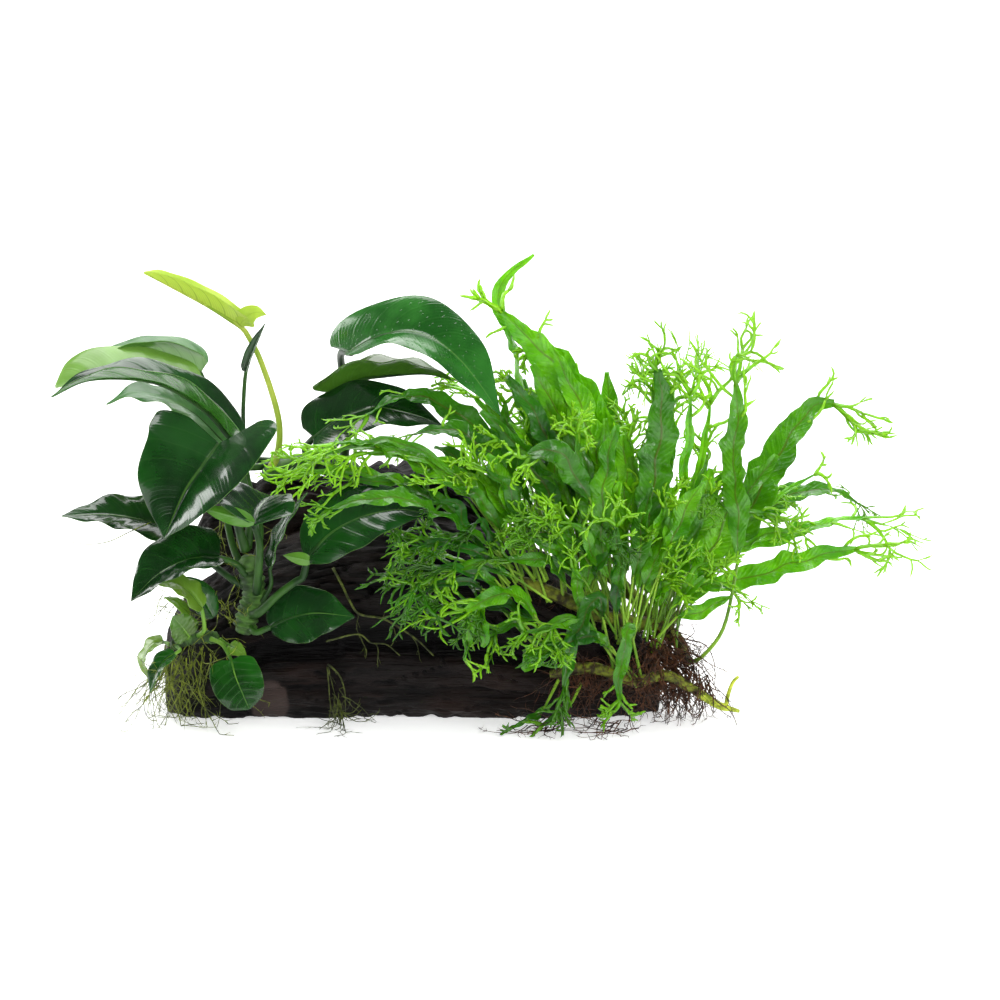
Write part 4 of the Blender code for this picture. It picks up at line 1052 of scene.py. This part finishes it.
def add_frond(shape, rng, start, petiole, path, tip, half_width, spread, facing, tone, ruffle=1.5,
              stalk=0.7, branches=3, depth=2, side_lobes=2, sink=0.1, twist=0.45):
    """A whole frond: thin stalk, strap blade, a few forked lobes at its sides and a crest."""
    rows = FROND_ROWS if half_width > 3 else SMALL_FROND_ROWS
    line = curve_at([*petiole[-1:], *path], np.linspace(0, 1, rows))
    ahead, sides, normals = frond_blade(shape, rng, line, half_width, facing, tone, ruffle, twist)
    low = curve_at([start, *petiole, line[2]], np.linspace(0, 1, FROND_STALK_ROWS))
    tube(shape, low, np.linspace(1.15 * stalk, 0.8 * stalk, FROND_STALK_ROWS), 7, tone, kind=1)
    if not branches:
        return
    length = np.linalg.norm(np.subtract(tip, path[-1]))
    towards = unit(np.subtract(tip, path[-1]))
    flat = unit(normals[-1] - towards * (normals[-1] @ towards))
    # Painted light: a crest up high is made paler, as if it caught more light.
    if tip[2] > PAINTED_LIGHT_HEIGHT:
        tone = 0.5 + 0.5 * tone
    crest(shape, rng, line[-1] - ahead, towards, flat, length, spread, CREST_WIDTH, tone, branches, depth,
          sink)
    for k in range(side_lobes):
        row = int(len(line) * (0.93 - 0.12 * k))
        turn = 1 if k % 2 else -1
        way = turned(unit(line[row] - line[row - 1]), normals[row], -turn * rng.uniform(0.5, 0.9))
        root = line[row] + turn * sides[row] * half_width * 0.3
        antler(shape, rng, root, way, normals[row], length * rng.uniform(0.3, 0.5), 0.8, 1, tone, sink)


def fern_fronds(materials):
    """The fronds that have a CAD node each."""
    for name, stem, at, petiole, *values, seed, look in FRONDS:
        shape = Shape()
        start = sprout("fern_rhizome_" + stem, at, petiole[0], 0.7)
        add_frond(shape, np.random.default_rng(seed), start, petiole, *values, **look)
        shape.make("frond_" + name, materials, "fern_frond_" + name)


def spray_frond(shape, rng, row):
    """One short frond of a spray, arching from where it roots to its tip."""
    _, root, root_spread, tip, tip_spread, half_width, size, tone = row
    start = np.array(root) + rng.uniform(-1, 1, 3) * root_spread
    end = np.array(tip) + rng.uniform(-1, 1, 3) * tip_spread
    end[2] = max(end[2], 4)
    way = end - start
    reach = np.linalg.norm(way)
    hump = reach * rng.uniform(0.14, 0.28) * min(1, np.linalg.norm(way[:2]) / reach + 0.2)
    lift = np.array((0, -0.15 * hump, hump))
    knots = [start + way * share + lift * math.sin(math.pi * share) + rng.normal(0, 1.2, 3)
             for share in (0.34, 0.56, 0.78)]
    knots.append(end)
    last = unit(knots[-1] - knots[-2] + np.array((0, 0, -0.1 * size)))
    facing = unit(np.array((0.25 * rng.normal(), -0.7, 0.6)))
    width = half_width * rng.uniform(0.7, 1.15)
    shade = float(np.clip(tone + rng.normal(0, 0.24), 0, 1))
    add_frond(shape, rng, start, knots[:1], knots[1:], end + last * size * rng.uniform(0.8, 1.2), width,
              size * 0.55, facing, shade, ruffle=1.3, stalk=0.55, branches=3 if size >= LEAST_CREST else 0)


def short_fronds(shape, rng):
    """The placed short fronds. Narrow ones end in a fork, and the path of the others runs on to the tip."""
    for root, path, tip, half_width, facing, tone in SHORT_FRONDS:
        forked = half_width < 3
        way = path[1:] if forked else [*path[1:], tip]
        add_frond(shape, rng, root, path[:1], way, tip, half_width, 5, facing, tone,
                  branches=2 if forked else 0, depth=1, side_lobes=0)


def small_fronds(materials):
    for number, (name, rows) in enumerate(SPRAYS.items()):
        shape = Shape()
        rng = np.random.default_rng(100 + number)
        for row in rows:
            for _ in range(row[0]):
                spray_frond(shape, rng, row)
        if name == "centre":
            short_fronds(shape, rng)
        shape.make("small_fronds_" + name, materials, "fern_small_fronds_" + name)


# Creeping stems and roots


# The roots that cling to the log's face, each as x and z of its points.
ROOT_UPPER = ((-41, 70), (-37, 63), (-33, 55), (-29, 50), (-19, 48), (-10, 43), (-3, 38), (4, 31))
ROOT_LOWER = ((-44, 38), (-30, 41), (-24, 37), (-17, 36), (-11, 31))
# The root masses. Each row: how many, middle, spread, heading, length, radius, pull, twist.
ROOT_MASSES = {
    "anubias_roots_left": (
        (42, (-105, -48, 34), (11, 3, 5), (-0.15, -0.3, -1), 46, 0.34, 0.12, 0.15),
        (34, (-112, -47, 28), (6, 3, 8), (-0.7, -0.3, -0.7), 32, 0.3, 0.12, 0.17),
        (20, (-92, -50, 50), (8, 3, 14), (-0.3, -0.4, -0.5), 22, 0.3, 0.08, 0.35),
        (12, (-110, -48, 58), (8, 3, 8), (-0.9, -0.1, -0.3), 20, 0.26, 0.1, 0.25),
        (16, (-86, -46, 82), (8, 3, 14), (-0.2, -0.2, -0.8), 26, 0.28, 0.1, 0.35),
    ),
    "anubias_root_tuft": (
        (3, (-43, -44, 27), (1, 1, 1), (0.2, -0.1, -1), 30, 0.5, 0.1, 0.12),
        (20, (-40, -47, 12), (3, 2, 5), (0.4, -0.4, -0.6), 26, 0.3, 0.1, 0.28),
    ),
    "fern_roots_front": (
        (130, (84, -46, 26), (24, 3, 8), (0, -0.3, -1), 28, 0.3, 0.08, 0.32),
        (40, (72, -54, 4), (26, 6, 3), (-0.6, -0.5, -0.3), 26, 0.3, 0.05, 0.2),
    ),
    "fern_roots_right": (
        (150, (106, -26, 32), (8, 8, 9), (0.5, -0.3, -0.7), 36, 0.4, 0.14, 0.24),
        (70, (118, -34, 20), (10, 6, 6), (0.2, -0.2, -1), 24, 0.36, 0.14, 0.2),
        (50, (104, -26, 42), (8, 6, 5), (0.7, -0.2, 0.1), 12, 0.24, 0.05, 0.4),
    ),
}

# A loose thread that hangs from the leaf that points left.
THREAD = ((-122, -44, 93), (-130, -52, 91), (-140, -56, 87), (-149, -58, 86), (-157, -58, 87))


def hair(shape, rng, start, clear, length, heading=None, radius=0.13, kind=0):
    """One short, fine hair."""
    way = unit(rng.normal(size=3) if heading is None else heading + 0.5 * rng.normal(size=3))
    bend = 0.3 * rng.normal(size=3)
    points = [start + way * (clear + length * k / 3) + bend * length * (k / 3) ** 2 for k in range(4)]
    points = [np.array((x, y, max(z, HAIR_FLOOR))) for x, y, z in points]
    tube(shape, points, np.linspace(radius, 0.3 * radius, 4), 3, kind=kind)


def rhizome(number, name, radius, knots, looks):
    """One creeping stem: ringed where it is the Anubias's, and hairy where it is the fern's."""
    shares = np.linspace(0, 1, STEM_ROWS)
    line = curve_at(knots, shares)
    is_fern = name.startswith("fern")
    ringed = 0 if is_fern else 0.1
    swell = [1 + 0.14 * uneven(*(Vector(point) * 0.4)) + ringed * math.sin(k * 0.95)
             for k, point in enumerate(line)]
    ends = np.minimum(1, np.sin(np.linspace(0.25, math.pi - 0.25, STEM_ROWS)) * 2.2)
    if name == "fern_rhizome_front":
        ends = ends * np.interp(shares, (0, 0.6, 1), (1, 0.85, 0.5))
    radii = radius * np.array(swell) * ends * (0.8 if is_fern else 1)
    shape = Shape()
    if name == "fern_rhizome_front":
        tube(shape, line[:62], radii[:62], 16)
        tube(shape, line[60:], radii[60:], 16, kind=2)
        tube(shape, curve_at(STUB, np.linspace(0, 1, 14)), np.linspace(1.1, 0.7, 14), 8, kind=2)
    else:
        tube(shape, line, radii, 16)
    if is_fern:
        rng = np.random.default_rng(40 + number)
        for _ in range(STEM_HAIRS):
            hair(shape, rng, line[rng.integers(2, 70)], radius * 0.6, rng.uniform(2, 6), kind=1)
    shape.make(name + "_skin", looks, name)


def rhizomes(brown):
    green = fuzzy_material("anubias_stem", rgb(22, 44, 14), rgb(62, 96, 36), 160)
    olive = fuzzy_material("fern_stem", rgb(40, 34, 10), rgb(108, 118, 28))
    tip_green = fuzzy_material("fern_stem_tip", rgb(110, 130, 20), rgb(184, 196, 62))
    for number, (name, (radius, knots)) in enumerate(RHIZOMES.items()):
        skin = olive if name.startswith("fern") else green
        rhizome(number, name, radius, knots, [skin, brown, tip_green])


def clear_of_log(point):
    """The point, moved out in front of the log's face if it lies behind it."""
    if TRUNK[0][0] < point[0] < TRUNK[-1][0]:
        front = trunk_front(point[0], max(point[2], 1), 0.9)[1]
        if front < point[1] < 0:
            point[1] = front
    point[2] = max(point[2], ROOT_FLOOR)
    return point


def rootlet(shape, rng, start, heading, length, radius, pull, twist):
    """One thin root that wanders down, with side hairs, and turns along the ground where it meets it."""
    steps = max(6, int(length / 2.2))
    points = [np.array(start, float)]
    ahead = unit(heading)
    drift = rng.normal(size=3)
    for _ in range(steps):
        drift = 0.6 * drift + 0.8 * rng.normal(size=3)
        ahead = unit(ahead + twist * drift + np.array((0, 0, -pull)))
        if points[-1][2] < 1.5:
            ahead = unit(ahead * (1, 1, 0.1) + (0, -0.02, 0.02))
        points.append(clear_of_log(points[-1] + ahead * length / steps))
    tube(shape, points, np.linspace(radius, 0.4 * radius, len(points)), 3)
    for point in points[2:]:
        for _ in range(2):
            if rng.random() < HAIR_CHANCE:
                hair(shape, rng, point, 0, rng.uniform(2, 5), 0.6 * ahead, 0.45 * radius)


def root_mass(name, material, seed):
    """Many thin roots, and the loose thread among the Anubias's."""
    shape = Shape()
    rng = np.random.default_rng(seed)
    for count, middle, spread, heading, length, radius, pull, twist in ROOT_MASSES[name]:
        for _ in range(count):
            start = np.array(middle) + rng.uniform(-1, 1, 3) * spread
            way = np.array(heading) + 0.35 * rng.normal(size=3)
            rootlet(shape, rng, clear_of_log(start), way, length * rng.uniform(0.55, 1.1),
                    radius * rng.uniform(0.6, 1.3), pull, twist)
    if name == "anubias_roots_left":
        tube(shape, curve_at(THREAD, np.linspace(0, 1, 24)), np.linspace(0.32, 0.15, 24), 5)
    shape.make(name + "_strands", [material], name)


def root_on_log(name, material, places, radius, branches):
    """One long root that clings to the log's face, with a few thin ones off it."""
    shape = Shape()
    rng = np.random.default_rng(len(places))
    line = curve_at([trunk_front(x, z, 1.4) for x, z in places], np.linspace(0, 1, 50))
    tube(shape, line, np.linspace(radius, 0.55 * radius, 50), 8)
    for k in branches:
        rootlet(shape, rng, line[k], (0.4, -0.1, -0.6), 12, 0.4, 0.1, 0.25)
    shape.make(name + "_strand", [material], name)


def roots(brown):
    pale = fuzzy_material("root_pale", rgb(44, 54, 8), rgb(118, 132, 36))
    dim = fuzzy_material("root_dim", rgb(30, 36, 12), rgb(78, 88, 32))
    root_on_log("anubias_root_upper", dim, ROOT_UPPER, 0.65, (18, 24, 30, 38))
    root_on_log("anubias_root_lower", dim, ROOT_LOWER, 0.5, (20, 32))
    root_mass("anubias_roots_left", pale, 5)
    root_mass("anubias_root_tuft", dim, 6)
    root_mass("fern_roots_front", brown, 7)
    root_mass("fern_roots_right", brown, 8)


# The stage


def add_floor():
    """A plain pale floor that glows a little, and more where the lamps don't reach it."""
    mesh = bpy.data.meshes.new("floor")
    mesh.from_pydata([(-4, -4, 0), (4, -4, 0), (4, 4, 0), (-4, 4, 0)], [], [(0, 1, 2, 3)])
    floor = bpy.data.objects.new("floor", mesh)
    bpy.context.scene.collection.objects.link(floor)
    plain = new_material("floor")
    reach = plain.add("VectorMath")
    reach.operation = "LENGTH"
    plain.link(plain.place(), reach.inputs[0])
    glow = plain.between(reach.outputs["Value"], 1.0, 2.6, 0.5, 0.97)
    plain.link(glow, plain.shader.inputs["Emission Strength"])
    mesh.materials.append(plain.finish(rgb(216, 216, 216), 0.95, specular_ior_level=0.0,
                                       emission_color=(1, 1, 1, 1)))


def add_world():
    """White light all round, weaker from high up and from the front."""
    world = bpy.data.worlds.new("studio")
    n = Nodes(world)
    parts = n.add("SeparateXYZ")
    n.link(n.place("Generated"), parts.inputs[0])
    high = n.between(parts.outputs["Z"], 0.05, 0.4, 0.95, 0.22, "LINEAR")
    ahead = n.between(parts.outputs["Y"], -0.9, -0.4, 0.2, 1, "LINEAR")
    light = n.tree.nodes["Background"].inputs
    n.link(n.times(high, ahead), light["Strength"])
    n.link((1, 1, 1, 1), light["Color"])
    bpy.context.scene.world = world


def lamp(name, place, size, power, mirrored):
    """A soft rectangular lamp aimed at the plants. One that isn't mirrored only fills the shade."""
    data = bpy.data.lights.new(name, "AREA")
    data.shape = "RECTANGLE"
    data.size, data.size_y = size
    data.energy = power
    thing = bpy.data.objects.new(name, data)
    thing.location = place
    thing.rotation_euler = (Vector((0, 0, 0.08)) - Vector(place)).to_track_quat("-Z", "Y").to_euler()
    thing.visible_glossy = mirrored
    bpy.context.scene.collection.objects.link(thing)


def add_camera():
    data = bpy.data.cameras.new("camera")
    data.lens = 400
    data.sensor_width = 36
    data.clip_end = 50
    camera = bpy.data.objects.new("camera", data)
    bpy.context.scene.collection.objects.link(camera)
    tilt = math.radians(CAMERA_TILT)
    camera.location = CAMERA_AIM + CAMERA_DISTANCE * Vector((0, -math.cos(tilt), math.sin(tilt)))
    camera.rotation_euler = (math.pi / 2 - tilt, 0, 0)
    bpy.context.scene.camera = camera


def main():
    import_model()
    wood = wood_material()
    brown = fuzzy_material("root_brown", rgb(24, 12, 7), rgb(88, 54, 32))
    fern = [fern_material(), stalk_material("fern_stalk", rgb(76, 116, 22), rgb(122, 162, 44), 0.6)]
    trunk(wood)
    limb(wood)
    rhizomes(brown)
    anubias_leaves()
    fern_fronds(fern)
    small_fronds(fern)
    roots(brown)
    bpy.context.scene.view_settings.view_transform = "Standard"
    add_floor()
    add_world()
    for row in LAMPS:
        lamp(*row)
    add_camera()
    bpy.context.view_layer.update()


main()
